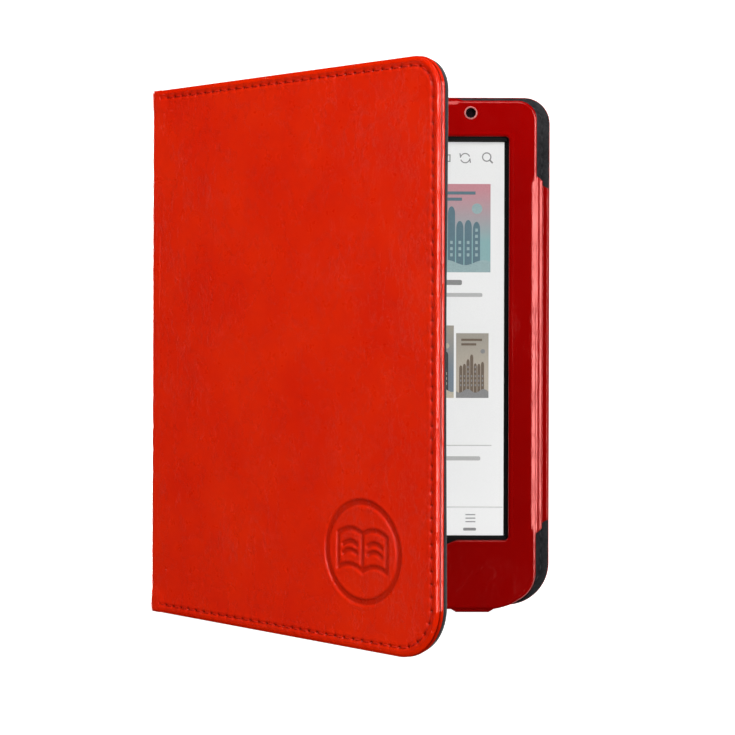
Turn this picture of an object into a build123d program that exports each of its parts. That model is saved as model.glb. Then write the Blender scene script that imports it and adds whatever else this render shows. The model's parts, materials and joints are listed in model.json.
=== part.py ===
"""E-reader in a book-type leather folio, standing open on its lower edges.

Every length is in millimetres.  X runs to the right across the screen, Y runs away
from the person reading, Z runs up.  The origin is on the standing edge of the back
panel, halfway through its thickness and in line with the middle of the screen.
"""

import os
from math import cos, radians, sin

from build123d import *

# ---------------------------------------------------------------- driving dimensions
# Screen and reader
screen_width = 90.8            # lit area of a six inch display
screen_height = 122.6
screen_bottom = 23.4           # lit area's lower edge above the standing edge
reader_width = 110.0
reader_height = 157.0
reader_thickness = 8.35
reader_bottom = 1.8
reader_corner = 8.0

# Folio panels, from the outer face inwards
skin_thickness = 0.8
board_thickness = 1.4
lining_thickness = 0.8
panel_width = 119.2            # crease to free edge
panel_height = 161.4
rim_width = 0.9                # turned-in edge of the skin around the board
lining_inset = 0.5
back_top_corner = 8.2
back_bottom_corner = 13.4
cover_top_corner = 9.6
cover_bottom_corner = 14.6

# Folding
crease_x = -58.8
fold_depth = 0.5               # the fold line lies this far below the outer face
spine_width = 15.0             # crease to crease
spine_opening = 22.0           # degrees each crease stands open at rest
cover_opening = 22.0
skin_margin = 0.8              # skin stops this far from a fold line
board_margin = 2.7             # board and lining stop this far from it

# Leather holder around the reader
fit_gap = 0.1                  # reader's back to the lining
holder_gap = 0.05              # reader's front to the holder
stiffener_thickness = 0.4
leather_thickness = 0.8
holder_half_width = 55.3
holder_bottom = 1.3
holder_top = 159.3
holder_top_corner = 6.0
holder_bottom_corner = 8.5
window_half_width = 46.6
window_bottom = 21.7
window_top = 148.1
window_corner = 1.2

# Rear power button
button_x = -34.0
button_z = 144.0
button_diameter = 8.8
button_proud = 0.4
button_travel = 0.4
button_access_diameter = 13.0

# ---------------------------------------------------------------- worked-out positions
panel_thickness = skin_thickness + board_thickness + lining_thickness
back_fold_y = panel_thickness / 2 - fold_depth
lining_face_y = -panel_thickness / 2
reader_back_y = lining_face_y - fit_gap
reader_front_y = reader_back_y - reader_thickness
stiffener_y = reader_front_y - holder_gap
leather_y = stiffener_y - stiffener_thickness
holder_front_y = leather_y - leather_thickness
screen_middle_z = screen_bottom + screen_height / 2
reader_middle_z = reader_bottom + reader_height / 2


def heading_vector(heading):
    """Level direction: 0 degrees is +X and it turns towards the person reading."""
    return Vector(cos(radians(heading)), -sin(radians(heading)), 0)


spine_heading = 90 + spine_opening
cover_heading = spine_opening + cover_opening
back_fold = Vector(crease_x, back_fold_y, 0)
cover_fold = back_fold + heading_vector(spine_heading) * spine_width


def upright_plane(fold, heading):
    """Upright plane through a fold line; its x axis runs along the panel, its y axis up."""
    direction = heading_vector(heading)
    return Plane(origin=fold, x_dir=direction, z_dir=direction.cross(Vector(0, 0, 1)))


back_plane = upright_plane(back_fold, 0)
spine_plane = upright_plane(back_fold, spine_heading)
cover_plane = upright_plane(cover_fold, cover_heading)
back_inward = 1                # which way along the plane's normal the lining lies
spine_inward = -1
cover_inward = -1

skin_depth = -fold_depth       # depths below are measured inwards from the fold line
board_depth = skin_depth + skin_thickness
lining_depth = board_depth + board_thickness


def reader_plane(depth):
    """Plane across the reader, at a depth measured from its back towards its screen."""
    return Plane.XZ.offset(-reader_back_y + depth)


def front_plane(y):
    """Plane facing the person reading, at a given Y."""
    return Plane.XZ.offset(-y)


# ---------------------------------------------------------------- shared profiles
def panel_outline(start, end, low, high, bottom_radius, top_radius):
    """Upright rectangle whose two corners at its far end are rounded."""
    with BuildLine() as edge:
        bottom = Line((start, low), (end - bottom_radius, low))
        RadiusArc(bottom @ 1, (end, low + bottom_radius), -bottom_radius)
        side = Line((end, low + bottom_radius), (end, high - top_radius))
        RadiusArc(side @ 1, (end - top_radius, high), -top_radius)
        top = Line((end - top_radius, high), (start, high))
        Line(top @ 1, bottom @ 0)
    make_face(edge.edges())


def rounded_block(half_width, low, high, bottom_radius, top_radius):
    """Upright rectangle about X = 0 with its bottom and top corners rounded."""
    with BuildLine() as edge:
        bottom = Line((-half_width + bottom_radius, low), (half_width - bottom_radius, low))
        RadiusArc(bottom @ 1, (half_width, low + bottom_radius), -bottom_radius)
        right = Line((half_width, low + bottom_radius), (half_width, high - top_radius))
        RadiusArc(right @ 1, (half_width - top_radius, high), -top_radius)
        top = Line((half_width - top_radius, high), (-half_width + top_radius, high))
        RadiusArc(top @ 1, (-half_width, high - top_radius), -top_radius)
        left = Line((-half_width, high - top_radius), (-half_width, low + bottom_radius))
        RadiusArc(left @ 1, bottom @ 0, -bottom_radius)
    make_face(edge.edges())


def reader_outline(inset):
    """The reader's outline, moved inwards by an inset."""
    with Locations((0, reader_middle_z)):
        RectangleRounded(reader_width - 2 * inset, reader_height - 2 * inset, reader_corner - inset)


def block(x, z, width, height, depth, thickness):
    """Rectangular piece inside the reader, centred at x and z; its back is at a depth."""
    with BuildSketch(reader_plane(depth)) as profile:
        with Locations((x, z)):
            Rectangle(width, height)
    extrude(profile.sketch, amount=thickness)


# ---------------------------------------------------------------- folio panels
def skin_outline(inset, bottom_radius, top_radius, end):
    """Outline of a skin, from just past the fold line to its free edge."""
    panel_outline(
        skin_margin,
        end - inset,
        inset,
        panel_height - inset,
        bottom_radius - inset,
        top_radius - inset,
    )


def build_skin(plane, inward, bottom_radius, top_radius):
    """Leather skin of a panel: a sheet with its three outer edges turned in around the board."""
    with BuildSketch(plane.offset(inward * skin_depth)) as profile:
        skin_outline(0, bottom_radius, top_radius, panel_width)
    extrude(profile.sketch, amount=inward * (skin_thickness + board_thickness))
    with BuildSketch(plane.offset(inward * board_depth)) as profile:
        skin_outline(rim_width, bottom_radius, top_radius, panel_width)
    extrude(profile.sketch, amount=inward * board_thickness, mode=Mode.SUBTRACT)


def build_board(plane, inward, bottom_radius, top_radius):
    """Stiff board that fills the skin, stopping short of the crease."""
    with BuildSketch(plane.offset(inward * board_depth)) as profile:
        panel_outline(
            board_margin,
            panel_width - rim_width,
            rim_width,
            panel_height - rim_width,
            bottom_radius - rim_width,
            top_radius - rim_width,
        )
    extrude(profile.sketch, amount=inward * board_thickness)


def build_lining(plane, inward, bottom_radius, top_radius):
    """Microfibre lining glued over the board and the turned-in edge."""
    with BuildSketch(plane.offset(inward * lining_depth)) as profile:
        panel_outline(
            board_margin,
            panel_width - lining_inset,
            lining_inset,
            panel_height - lining_inset,
            bottom_radius - lining_inset,
            top_radius - lining_inset,
        )
    extrude(profile.sketch, amount=inward * lining_thickness)


def cut_button_access():
    """Round hole through a layer of the back panel, behind the reader's power button."""
    with BuildSketch(front_plane(panel_thickness)) as profile:
        with Locations((button_x, button_z)):
            Circle(button_access_diameter / 2)
    extrude(profile.sketch, amount=2 * panel_thickness, mode=Mode.SUBTRACT)


with BuildPart() as back_skin:
    build_skin(back_plane, back_inward, back_bottom_corner, back_top_corner)
    cut_button_access()

with BuildPart() as back_board:
    build_board(back_plane, back_inward, back_bottom_corner, back_top_corner)
    cut_button_access()

with BuildPart() as back_lining:
    build_lining(back_plane, back_inward, back_bottom_corner, back_top_corner)
    cut_button_access()

# The cover's board has pockets for its magnets.
cover_magnet_diameter = 6.0
cover_magnet_thickness = 1.2
cover_magnet_along = 109.8
closure_magnet_heights = (50.0, 111.0)
magnet_clearance = 0.1
sleep_magnet_along = 88.8
sleep_magnet_z = 40.0
sleep_magnet_width = 4.0
sleep_magnet_height = 10.0

with BuildPart() as front_skin:
    build_skin(cover_plane, cover_inward, cover_bottom_corner, cover_top_corner)

with BuildPart() as front_board:
    build_board(cover_plane, cover_inward, cover_bottom_corner, cover_top_corner)
    with BuildSketch(cover_plane.offset(cover_inward * board_depth)):
        with Locations(*[(cover_magnet_along, z) for z in closure_magnet_heights]):
            Circle(cover_magnet_diameter / 2 + magnet_clearance)
        with Locations((sleep_magnet_along, sleep_magnet_z)):
            Rectangle(sleep_magnet_width + 2 * magnet_clearance, sleep_magnet_height + 2 * magnet_clearance)
    extrude(amount=cover_inward * board_thickness, mode=Mode.SUBTRACT)

with BuildPart() as front_lining:
    build_lining(cover_plane, cover_inward, cover_bottom_corner, cover_top_corner)

with BuildPart() as cover_magnets:
    with BuildSketch(cover_plane.offset(cover_inward * board_depth)):
        with Locations(*[(cover_magnet_along, z) for z in closure_magnet_heights]):
            Circle(cover_magnet_diameter / 2)
    extrude(amount=cover_inward * cover_magnet_thickness)

with BuildPart() as sleep_magnet:
    with BuildSketch(cover_plane.offset(cover_inward * board_depth)):
        with Locations((sleep_magnet_along, sleep_magnet_z)):
            Rectangle(sleep_magnet_width, sleep_magnet_height)
    extrude(amount=cover_inward * cover_magnet_thickness)


def spine_layer(margin, low, high, depth, thickness):
    """One layer of the spine between its two creases."""
    with BuildSketch(spine_plane.offset(spine_inward * depth)) as profile:
        with Locations((spine_width / 2, (low + high) / 2)):
            Rectangle(spine_width - 2 * margin, high - low)
    extrude(profile.sketch, amount=spine_inward * thickness)


with BuildPart() as spine_skin:
    spine_layer(skin_margin, 0, panel_height, skin_depth, skin_thickness)
    spine_layer(board_margin, 0, rim_width, board_depth, board_thickness)
    spine_layer(board_margin, panel_height - rim_width, panel_height, board_depth, board_thickness)

with BuildPart() as spine_board:
    spine_layer(board_margin, rim_width, panel_height - rim_width, board_depth, board_thickness)

with BuildPart() as spine_lining:
    spine_layer(board_margin, lining_inset, panel_height - lining_inset, lining_depth, lining_thickness)

# ---------------------------------------------------------------- leather holder
sensor_x = 34.6
sensor_z = 155.35
sensor_hole_diameter = 3.4
notch_depth = 1.2              # shallow thumb notch in the window's lower edge
notch_half_width = 31.0
notch_slope = 4.0
stiffener_inset = 1.0
holder_magnet_x = 51.0
holder_magnet_diameter = 5.0


def cut_window(margin, thickness, plane):
    """Window over the screen with its shallow thumb notch, and the light sensor's hole."""
    with BuildSketch(plane) as profile:
        with Locations((0, (window_bottom + window_top) / 2)):
            RectangleRounded(
                2 * (window_half_width + margin),
                window_top - window_bottom + 2 * margin,
                window_corner,
            )
        with BuildLine():
            Polyline(
                (-notch_half_width, window_bottom - margin),
                (-notch_half_width + notch_slope, window_bottom - margin - notch_depth),
                (notch_half_width - notch_slope, window_bottom - margin - notch_depth),
                (notch_half_width, window_bottom - margin),
                (notch_half_width, window_bottom + notch_depth),
                (-notch_half_width, window_bottom + notch_depth),
                close=True,
            )
        make_face()
        with Locations((sensor_x, sensor_z)):
            Circle(sensor_hole_diameter / 2)
    extrude(profile.sketch, amount=thickness, mode=Mode.SUBTRACT)


with BuildPart() as holder_frame:
    with BuildSketch(front_plane(leather_y)):
        rounded_block(holder_half_width, holder_bottom, holder_top, holder_bottom_corner, holder_top_corner)
    extrude(amount=leather_thickness)
    cut_window(0, leather_thickness, front_plane(leather_y))

with BuildPart() as holder_stiffener:
    with BuildSketch(front_plane(stiffener_y)):
        rounded_block(
            holder_half_width - stiffener_inset,
            holder_bottom + stiffener_inset,
            holder_top - stiffener_inset,
            holder_bottom_corner - stiffener_inset,
            holder_top_corner - stiffener_inset,
        )
    extrude(amount=stiffener_thickness)
    cut_window(stiffener_inset / 2, stiffener_thickness, front_plane(stiffener_y))
    with BuildSketch(front_plane(stiffener_y)):
        with Locations(*[(holder_magnet_x, z) for z in closure_magnet_heights]):
            Circle(holder_magnet_diameter / 2 + magnet_clearance)
    extrude(amount=stiffener_thickness, mode=Mode.SUBTRACT)

with BuildPart() as holder_magnets:
    with BuildSketch(front_plane(stiffener_y)):
        with Locations(*[(holder_magnet_x, z) for z in closure_magnet_heights]):
            Circle(holder_magnet_diameter / 2)
    extrude(amount=stiffener_thickness)

wrap_bottom = 25.0
wrap_top = 134.6
wrap_foot_x = 57.9             # foot of the slanted wall
flange_edge_x = 59.7           # sewn flange's outer edge
left_wall_x = -56.1

with BuildPart() as holder_right_wrap:
    with BuildSketch(Plane.XY.offset(wrap_bottom)):
        with BuildLine():
            Polyline(
                (holder_half_width, leather_y),
                (holder_half_width, holder_front_y),
                (holder_half_width + leather_thickness / 2, holder_front_y + leather_thickness / 2),
                (wrap_foot_x, lining_face_y - leather_thickness),
                (flange_edge_x, lining_face_y - leather_thickness),
                (flange_edge_x, lining_face_y),
                (wrap_foot_x - leather_thickness, lining_face_y),
                close=True,
            )
        make_face()
    extrude(amount=wrap_top - wrap_bottom)

with BuildPart() as holder_left_wrap:
    with BuildSketch(Plane.XY.offset(wrap_bottom)):
        with BuildLine():
            Polyline(
                (-holder_half_width, lining_face_y),
                (-holder_half_width, holder_front_y),
                (left_wall_x, holder_front_y + leather_thickness / 2),
                (left_wall_x, lining_face_y),
                close=True,
            )
        make_face()
    extrude(amount=wrap_top - wrap_bottom)

top_tab_half_width = 34.0
top_tab_height = 0.9
bottom_tab_x = 35.5
bottom_tab_root = 14.4
bottom_tab_tip = 10.0
bottom_tab_bottom = 0.2
holder_reach = lining_face_y - holder_front_y
tab_rounding = 0.6

with BuildPart() as holder_top_tab:
    with BuildSketch(front_plane(lining_face_y)):
        with Locations((0, holder_top + top_tab_height / 2)):
            Rectangle(2 * top_tab_half_width, top_tab_height)
    extrude(amount=holder_reach)
    fillet(holder_top_tab.edges().filter_by(Axis.X).group_by(Axis.Z)[-1].sort_by(Axis.Y)[0], tab_rounding)

with BuildPart() as holder_bottom_tabs:
    with BuildSketch(front_plane(lining_face_y)):
        for side in (-1, 1):
            with BuildLine():
                Polyline(
                    (side * bottom_tab_x - bottom_tab_root / 2, holder_bottom),
                    (side * bottom_tab_x - bottom_tab_tip / 2, bottom_tab_bottom),
                    (side * bottom_tab_x + bottom_tab_tip / 2, bottom_tab_bottom),
                    (side * bottom_tab_x + bottom_tab_root / 2, holder_bottom),
                    close=True,
                )
            make_face()
    extrude(amount=holder_reach)

# ---------------------------------------------------------------- reader housing
shell_wall = 1.4
shell_floor = 1.2
seal_thickness = 0.15
seal_setback = 0.1             # seal stands this far in from both faces of the wall
bezel_thickness = 0.9
bezel_depth = reader_thickness - bezel_thickness
wall_top_depth = bezel_depth - seal_thickness
back_edge_radius = 2.5
bezel_edge_radius = 0.4
bezel_lip = 0.8                # bezel's window is this much larger than the lit area
mid_frame_depth = 5.0
mid_frame_thickness = 0.8
mid_frame_clearance = 0.2
mid_frame_inset = shell_wall + mid_frame_clearance
frame_boss_diameter = 5.0
frame_screw_spacing_x = 92.0
frame_screw_spacing_z = 146.5
frame_screw_middle_z = 80.25
screw_diameter = 1.4
screw_clearance_diameter = 1.8
pilot_diameter = 1.5
frame_pilot_floor = 0.5        # shell left under the frame screws' pilot holes
board_pilot_floor = 0.2
frame_screw_length = 3.6
board_screw_length = 2.1
screw_head_diameter = 3.0
screw_head_height = 0.6
board_depth_in_reader = 2.9
board_thickness_in_reader = 0.8
board_post_diameter = 4.0
board_screw_spacing_x = 86.0
board_screw_spacing_z = 24.0
board_screw_middle_z = 28.0
usb_width = 8.94
usb_height = 3.26
usb_length = 7.3
usb_middle_depth = 3.3
usb_clearance = 0.15
button_hole_clearance = 0.2
switch_board_x = -34.0
switch_board_depth = 3.6
switch_board_thickness = 0.8
switch_board_width = 20.0
switch_board_height = 13.0
switch_post_spacing = 16.0
switch_post_diameter = 2.6


def grid(middle_x, middle_z, spacing_x, spacing_z):
    """Four places at the corners of a rectangle."""
    return [
        (middle_x + side * spacing_x / 2, middle_z + level * spacing_z / 2)
        for side in (-1, 1)
        for level in (-1, 1)
    ]


frame_screw_places = grid(0, frame_screw_middle_z, frame_screw_spacing_x, frame_screw_spacing_z)
board_screw_places = grid(0, board_screw_middle_z, board_screw_spacing_x, board_screw_spacing_z)
switch_post_places = [(button_x + side * switch_post_spacing / 2, button_z) for side in (-1, 1)]


def posts(places, diameter, start, end):
    """Round posts standing on the shell's floor."""
    with BuildSketch(reader_plane(start)) as profile:
        with Locations(*places):
            Circle(diameter / 2)
    extrude(profile.sketch, amount=end - start)


def holes(places, diameter, start, end):
    """Round holes between two depths."""
    with BuildSketch(reader_plane(start)) as profile:
        with Locations(*places):
            Circle(diameter / 2)
    extrude(profile.sketch, amount=end - start, mode=Mode.SUBTRACT)


with BuildPart() as rear_cover:
    with BuildSketch(reader_plane(0)):
        reader_outline(0)
    extrude(amount=wall_top_depth)
    fillet(rear_cover.faces().sort_by(Axis.Y)[-1].edges(), back_edge_radius)
    with BuildSketch(reader_plane(shell_floor)):
        reader_outline(shell_wall)
    extrude(amount=wall_top_depth, mode=Mode.SUBTRACT)
    posts(frame_screw_places, frame_boss_diameter, shell_floor, mid_frame_depth)
    posts(board_screw_places, board_post_diameter, shell_floor, board_depth_in_reader)
    posts(switch_post_places, switch_post_diameter, shell_floor, switch_board_depth)
    holes(frame_screw_places, pilot_diameter, shell_floor + frame_pilot_floor, mid_frame_depth)
    holes(board_screw_places, pilot_diameter, shell_floor + board_pilot_floor, board_depth_in_reader)
    with BuildSketch(reader_plane(0)):
        with Locations((button_x, button_z)):
            Circle(button_diameter / 2 + button_hole_clearance)
    extrude(amount=shell_floor, mode=Mode.SUBTRACT)
    with BuildSketch(Plane.XY.offset(reader_bottom)):
        with Locations((0, reader_back_y - usb_middle_depth)):
            SlotOverall(usb_width + 2 * usb_clearance, usb_height + 2 * usb_clearance)
    extrude(amount=2 * shell_wall, mode=Mode.SUBTRACT)

with BuildPart() as housing_seal:
    with BuildSketch(reader_plane(wall_top_depth)):
        reader_outline(seal_setback)
        with Locations((0, reader_middle_z)):
            RectangleRounded(
                reader_width - 2 * (shell_wall - seal_setback),
                reader_height - 2 * (shell_wall - seal_setback),
                reader_corner - shell_wall,
                mode=Mode.SUBTRACT,
            )
    extrude(amount=seal_thickness)

lens_diameter = 2.3
lens_hole_diameter = 2.4
lens_setback = 0.1             # lens lies this far below the bezel's face

with BuildPart() as front_bezel:
    with BuildSketch(reader_plane(bezel_depth)):
        reader_outline(0)
    extrude(amount=bezel_thickness)
    fillet(front_bezel.faces().sort_by(Axis.Y)[0].edges(), bezel_edge_radius)
    with BuildSketch(reader_plane(bezel_depth)):
        with Locations((0, screen_middle_z)):
            Rectangle(screen_width + 2 * bezel_lip, screen_height + 2 * bezel_lip)
        with Locations((sensor_x, sensor_z)):
            Circle(lens_hole_diameter / 2)
    extrude(amount=bezel_thickness, mode=Mode.SUBTRACT)

with BuildPart() as sensor_lens:
    with BuildSketch(reader_plane(bezel_depth)):
        with Locations((sensor_x, sensor_z)):
            Circle(lens_diameter / 2)
    extrude(amount=bezel_thickness - lens_setback)

flex_window_z = 10.9
flex_window_height = 3.2
display_flex_x = -28.0
display_flex_width = 20.0
touch_flex_x = 26.0
touch_flex_width = 8.0
flex_thickness = 0.15
flex_clearance = 1.0

with BuildPart() as mid_frame:
    with BuildSketch(reader_plane(mid_frame_depth)):
        reader_outline(mid_frame_inset)
        with Locations((display_flex_x, flex_window_z)):
            Rectangle(display_flex_width + 2 * flex_clearance, flex_window_height, mode=Mode.SUBTRACT)
        with Locations((touch_flex_x, flex_window_z)):
            Rectangle(touch_flex_width + 2 * flex_clearance, flex_window_height, mode=Mode.SUBTRACT)
    extrude(amount=mid_frame_thickness)
    mid_frame_face = mid_frame_depth + mid_frame_thickness
    holes(frame_screw_places, screw_clearance_diameter, mid_frame_depth, mid_frame_face)


def screws(places, head_depth, length):
    """Small pan-head screws: a head in front of the clamped piece and a shank behind it."""
    with BuildSketch(reader_plane(head_depth)) as profile:
        with Locations(*places):
            Circle(screw_head_diameter / 2)
    extrude(profile.sketch, amount=screw_head_height)
    with BuildSketch(reader_plane(head_depth - length)) as profile:
        with Locations(*places):
            Circle(screw_diameter / 2)
    extrude(profile.sketch, amount=length)


with BuildPart() as frame_screws:
    screws(frame_screw_places, mid_frame_face, frame_screw_length)

# ---------------------------------------------------------------- display stack
panel_module_width = 101.8
panel_module_height = 138.4
panel_module_bottom = 13.0
panel_module_thickness = 0.9
guide_width = 100.0
guide_bottom = 16.0
guide_top = 150.0
guide_thickness = 0.5
panel_depth = mid_frame_depth + mid_frame_thickness
guide_depth = panel_depth + panel_module_thickness
film_depth = guide_depth + guide_thickness
film_thickness = bezel_depth - film_depth
guide_middle_z = (guide_bottom + guide_top) / 2

with BuildPart() as e_ink_panel:
    block(
        0,
        panel_module_bottom + panel_module_height / 2,
        panel_module_width,
        panel_module_height,
        panel_depth,
        panel_module_thickness,
    )

with BuildPart() as light_guide:
    block(0, guide_middle_z, guide_width, guide_top - guide_bottom, guide_depth, guide_thickness)

with BuildPart() as touch_film:
    block(0, guide_middle_z, guide_width, guide_top - guide_bottom, film_depth, film_thickness)

led_count = 12
led_pitch = 7.6
led_strip_z = 14.0
led_guide_gap = 0.1
led_width = 2.6
led_height = 1.2
led_thickness = 0.4
led_tape_height = 1.6
led_tape_thickness = 0.12
led_tape_depth = guide_depth + 0.05
led_middle_z = guide_bottom - led_guide_gap - led_height / 2

with BuildPart() as front_light_strip:
    block(0, led_strip_z, led_count * led_pitch, led_tape_height, led_tape_depth, led_tape_thickness)
    with BuildSketch(reader_plane(led_tape_depth)):
        with Locations((0, led_middle_z)):
            with GridLocations(led_pitch, 1, led_count, 1):
                Rectangle(led_width, led_height)
    extrude(amount=led_thickness)


ribbon_bend_radius = 0.4
ribbon_lift = 0.02             # ribbon's underside clears the board by this much


def ribbon(x, width, thickness, path):
    """Flat ribbon of a given width that follows a path of (depth, height) points."""
    with BuildSketch(Plane.YZ.offset(x - width / 2)) as profile:
        with BuildLine():
            FilletPolyline(*[(reader_back_y - depth, z) for depth, z in path], radius=ribbon_bend_radius)
        trace(line_width=thickness)
    extrude(profile.sketch, amount=width)


main_board_face = board_depth_in_reader + board_thickness_in_reader
flex_landing = main_board_face + flex_thickness / 2 + ribbon_lift
flex_landing_z = 22.0
display_tail_depth = panel_depth + panel_module_thickness / 2
touch_tail_depth = film_depth + film_thickness / 2

with BuildPart() as display_flex:
    ribbon(
        display_flex_x,
        display_flex_width,
        flex_thickness,
        [
            (display_tail_depth, panel_module_bottom),
            (display_tail_depth, flex_window_z),
            (flex_landing, flex_window_z),
            (flex_landing, flex_landing_z),
        ],
    )

with BuildPart() as touch_flex:
    ribbon(
        touch_flex_x,
        touch_flex_width,
        flex_thickness,
        [
            (touch_tail_depth, guide_bottom),
            (touch_tail_depth, flex_window_z),
            (flex_landing, flex_window_z),
            (flex_landing, flex_landing_z),
        ],
    )

# ---------------------------------------------------------------- electronics
board_half_width = 47.0
board_bottom = 12.6
board_top = 44.0
board_tongue_half_width = 8.0
board_tongue_bottom = 5.0
usb_notch_margin = 0.3

with BuildPart() as main_board:
    with BuildSketch(reader_plane(board_depth_in_reader)):
        with Locations((0, (board_bottom + board_top) / 2)):
            Rectangle(2 * board_half_width, board_top - board_bottom)
        with Locations((0, (board_tongue_bottom + board_bottom) / 2)):
            Rectangle(2 * board_tongue_half_width, board_bottom - board_tongue_bottom)
        with Locations((0, reader_bottom + usb_length / 2)):
            Rectangle(usb_width + usb_notch_margin, usb_length + usb_notch_margin, mode=Mode.SUBTRACT)
    extrude(amount=board_thickness_in_reader)
    holes(board_screw_places, screw_clearance_diameter, board_depth_in_reader, main_board_face)

with BuildPart() as board_screws:
    screws(board_screw_places, main_board_face, board_screw_length)

# Parts soldered to the main board: (middle x, middle z, width, height, thickness)
processor_size = (-1.0, 28.0, 11.0, 11.0, 0.9)
memory_chip_size = (11.0, 28.0, 9.0, 11.0, 0.8)
board_shield_size = (4.5, 28.0, 25.0, 16.0, 1.2)
power_chip_size = (-20.0, 33.0, 6.0, 6.0, 0.8)
wireless_module_size = (36.5, 27.0, 11.0, 14.0, 1.1)
hall_sensor_size = (30.0, 40.0, 3.0, 3.0, 0.9)
shield_sheet = 0.2
connector_margin = 1.0
connector_height = 3.0
connector_thickness = 0.9


def on_main_board(size):
    """Rectangular part standing on the main board."""
    x, z, width, height, thickness = size
    block(x, z, width, height, main_board_face, thickness)


with BuildPart() as processor:
    on_main_board(processor_size)

with BuildPart() as memory_chip:
    on_main_board(memory_chip_size)

with BuildPart() as board_shield:
    on_main_board(board_shield_size)
    shield_x, shield_z, shield_width, shield_height, shield_thickness = board_shield_size
    with BuildSketch(reader_plane(main_board_face)):
        with Locations((shield_x, shield_z)):
            Rectangle(shield_width - 2 * shield_sheet, shield_height - 2 * shield_sheet)
    extrude(amount=shield_thickness - shield_sheet, mode=Mode.SUBTRACT)

with BuildPart() as power_chip:
    on_main_board(power_chip_size)

with BuildPart() as wireless_module:
    on_main_board(wireless_module_size)

with BuildPart() as hall_sensor:
    on_main_board(hall_sensor_size)

with BuildPart() as flex_connectors:
    for flex_x, flex_width in ((display_flex_x, display_flex_width), (touch_flex_x, touch_flex_width)):
        on_main_board((
            flex_x,
            flex_landing_z + connector_height / 2,
            flex_width + connector_margin,
            connector_height,
            connector_thickness,
        ))

usb_shell_sheet = 0.3
usb_back_wall = 0.8
usb_tongue_start = 1.4
usb_tongue_width = 6.6
usb_tongue_thickness = 0.7

with BuildPart() as usb_c_port:
    with BuildSketch(Plane.XY.offset(reader_bottom)):
        with Locations((0, reader_back_y - usb_middle_depth)):
            SlotOverall(usb_width, usb_height)
    extrude(amount=usb_length)
    with BuildSketch(Plane.XY.offset(reader_bottom)):
        with Locations((0, reader_back_y - usb_middle_depth)):
            SlotOverall(usb_width - 2 * usb_shell_sheet, usb_height - 2 * usb_shell_sheet)
    extrude(amount=usb_length - usb_back_wall, mode=Mode.SUBTRACT)
    with BuildSketch(Plane.XY.offset(reader_bottom + usb_tongue_start)):
        with Locations((0, reader_back_y - usb_middle_depth)):
            Rectangle(usb_tongue_width, usb_tongue_thickness)
    extrude(amount=usb_length - usb_tongue_start - usb_back_wall / 2)

battery_width = 72.0
battery_bottom = 52.0
battery_top = 132.0
battery_thickness = 3.2
pad_thickness = 0.2
battery_middle_z = (battery_bottom + battery_top) / 2
battery_height = battery_top - battery_bottom
battery_depth = shell_floor + pad_thickness
battery_lead_x = -30.0
battery_plug_z = 38.5
battery_plug_height = 3.0
battery_plug_width = 8.0
battery_plug_thickness = 1.0
battery_corner = 1.5
battery_lead_width = 6.0
battery_lead_thickness = 0.3
battery_lead_lift = 0.25
pad_width = 20.0
pad_margin = 8.0

with BuildPart() as battery_pads:
    for side in (-1, 1):
        block(
            side * battery_width / 4,
            battery_middle_z,
            pad_width,
            battery_height - pad_margin,
            shell_floor,
            pad_thickness,
        )

with BuildPart() as battery:
    block(0, battery_middle_z, battery_width, battery_height, battery_depth, battery_thickness)
    fillet(battery.edges().filter_by(Axis.Y), battery_corner)

battery_lead_bottom = battery_plug_z + battery_plug_height / 2

with BuildPart() as battery_lead:
    block(
        battery_lead_x,
        (battery_bottom + battery_lead_bottom) / 2,
        battery_lead_width,
        battery_bottom - battery_lead_bottom,
        main_board_face + battery_lead_lift,
        battery_lead_thickness,
    )

with BuildPart() as battery_plug:
    block(
        battery_lead_x,
        battery_plug_z,
        battery_plug_width,
        battery_plug_height,
        main_board_face,
        battery_plug_thickness,
    )

antenna_x = 27.0
antenna_z = 151.0
antenna_width = 26.0
antenna_height = 8.0
antenna_thickness = 0.3
antenna_cable_x = 39.0
antenna_cable_diameter = 1.1
antenna_cable_bend = 6.0
cable_start_z = 34.0           # over the wireless module
cable_dive_z = 46.0            # leaves the board
cable_floor_z = 54.0           # reaches the shell's floor beside the battery
cable_end_z = 147.0            # under the antenna
cable_front_depth = 4.3
cable_back_depth = 2.1

with BuildPart() as wifi_antenna:
    block(antenna_x, antenna_z, antenna_width, antenna_height, shell_floor, antenna_thickness)

with BuildPart() as antenna_cable:
    with BuildLine(Plane.YZ.offset(antenna_cable_x)) as cable_route:
        FilletPolyline(
            (reader_back_y - cable_front_depth, cable_start_z),
            (reader_back_y - cable_front_depth, cable_dive_z),
            (reader_back_y - cable_back_depth, cable_floor_z),
            (reader_back_y - cable_back_depth, cable_end_z),
            radius=antenna_cable_bend,
        )
    with BuildSketch(Plane(origin=cable_route.line @ 0, z_dir=cable_route.line % 0)):
        Circle(antenna_cable_diameter / 2)
    sweep(path=cable_route.line)

light_sensor_width = 4.0
light_sensor_height = 2.4
light_sensor_thickness = 1.0
light_sensor_z = 155.0

with BuildPart() as light_sensor:
    block(
        sensor_x,
        light_sensor_z,
        light_sensor_width,
        light_sensor_height,
        panel_depth,
        light_sensor_thickness,
    )

# ---------------------------------------------------------------- power button
gasket_thickness = 0.3
gasket_outer_diameter = 11.4
gasket_inner_diameter = 9.6
button_gap = 0.05              # clearance between touching parts when the button is out
flange_depth = shell_floor + gasket_thickness + button_gap
flange_thickness = 0.45
flange_diameter = 11.0
stem_diameter = 3.0
stem_length = 0.1
stem_end_depth = flange_depth + flange_thickness + stem_length
plunger_diameter = 2.2
plunger_length = 0.3
plunger_depth = stem_end_depth + button_travel + button_gap
switch_body_depth = plunger_depth + plunger_length
switch_body_size = 5.0
button_edge_rounding = 0.25

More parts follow.
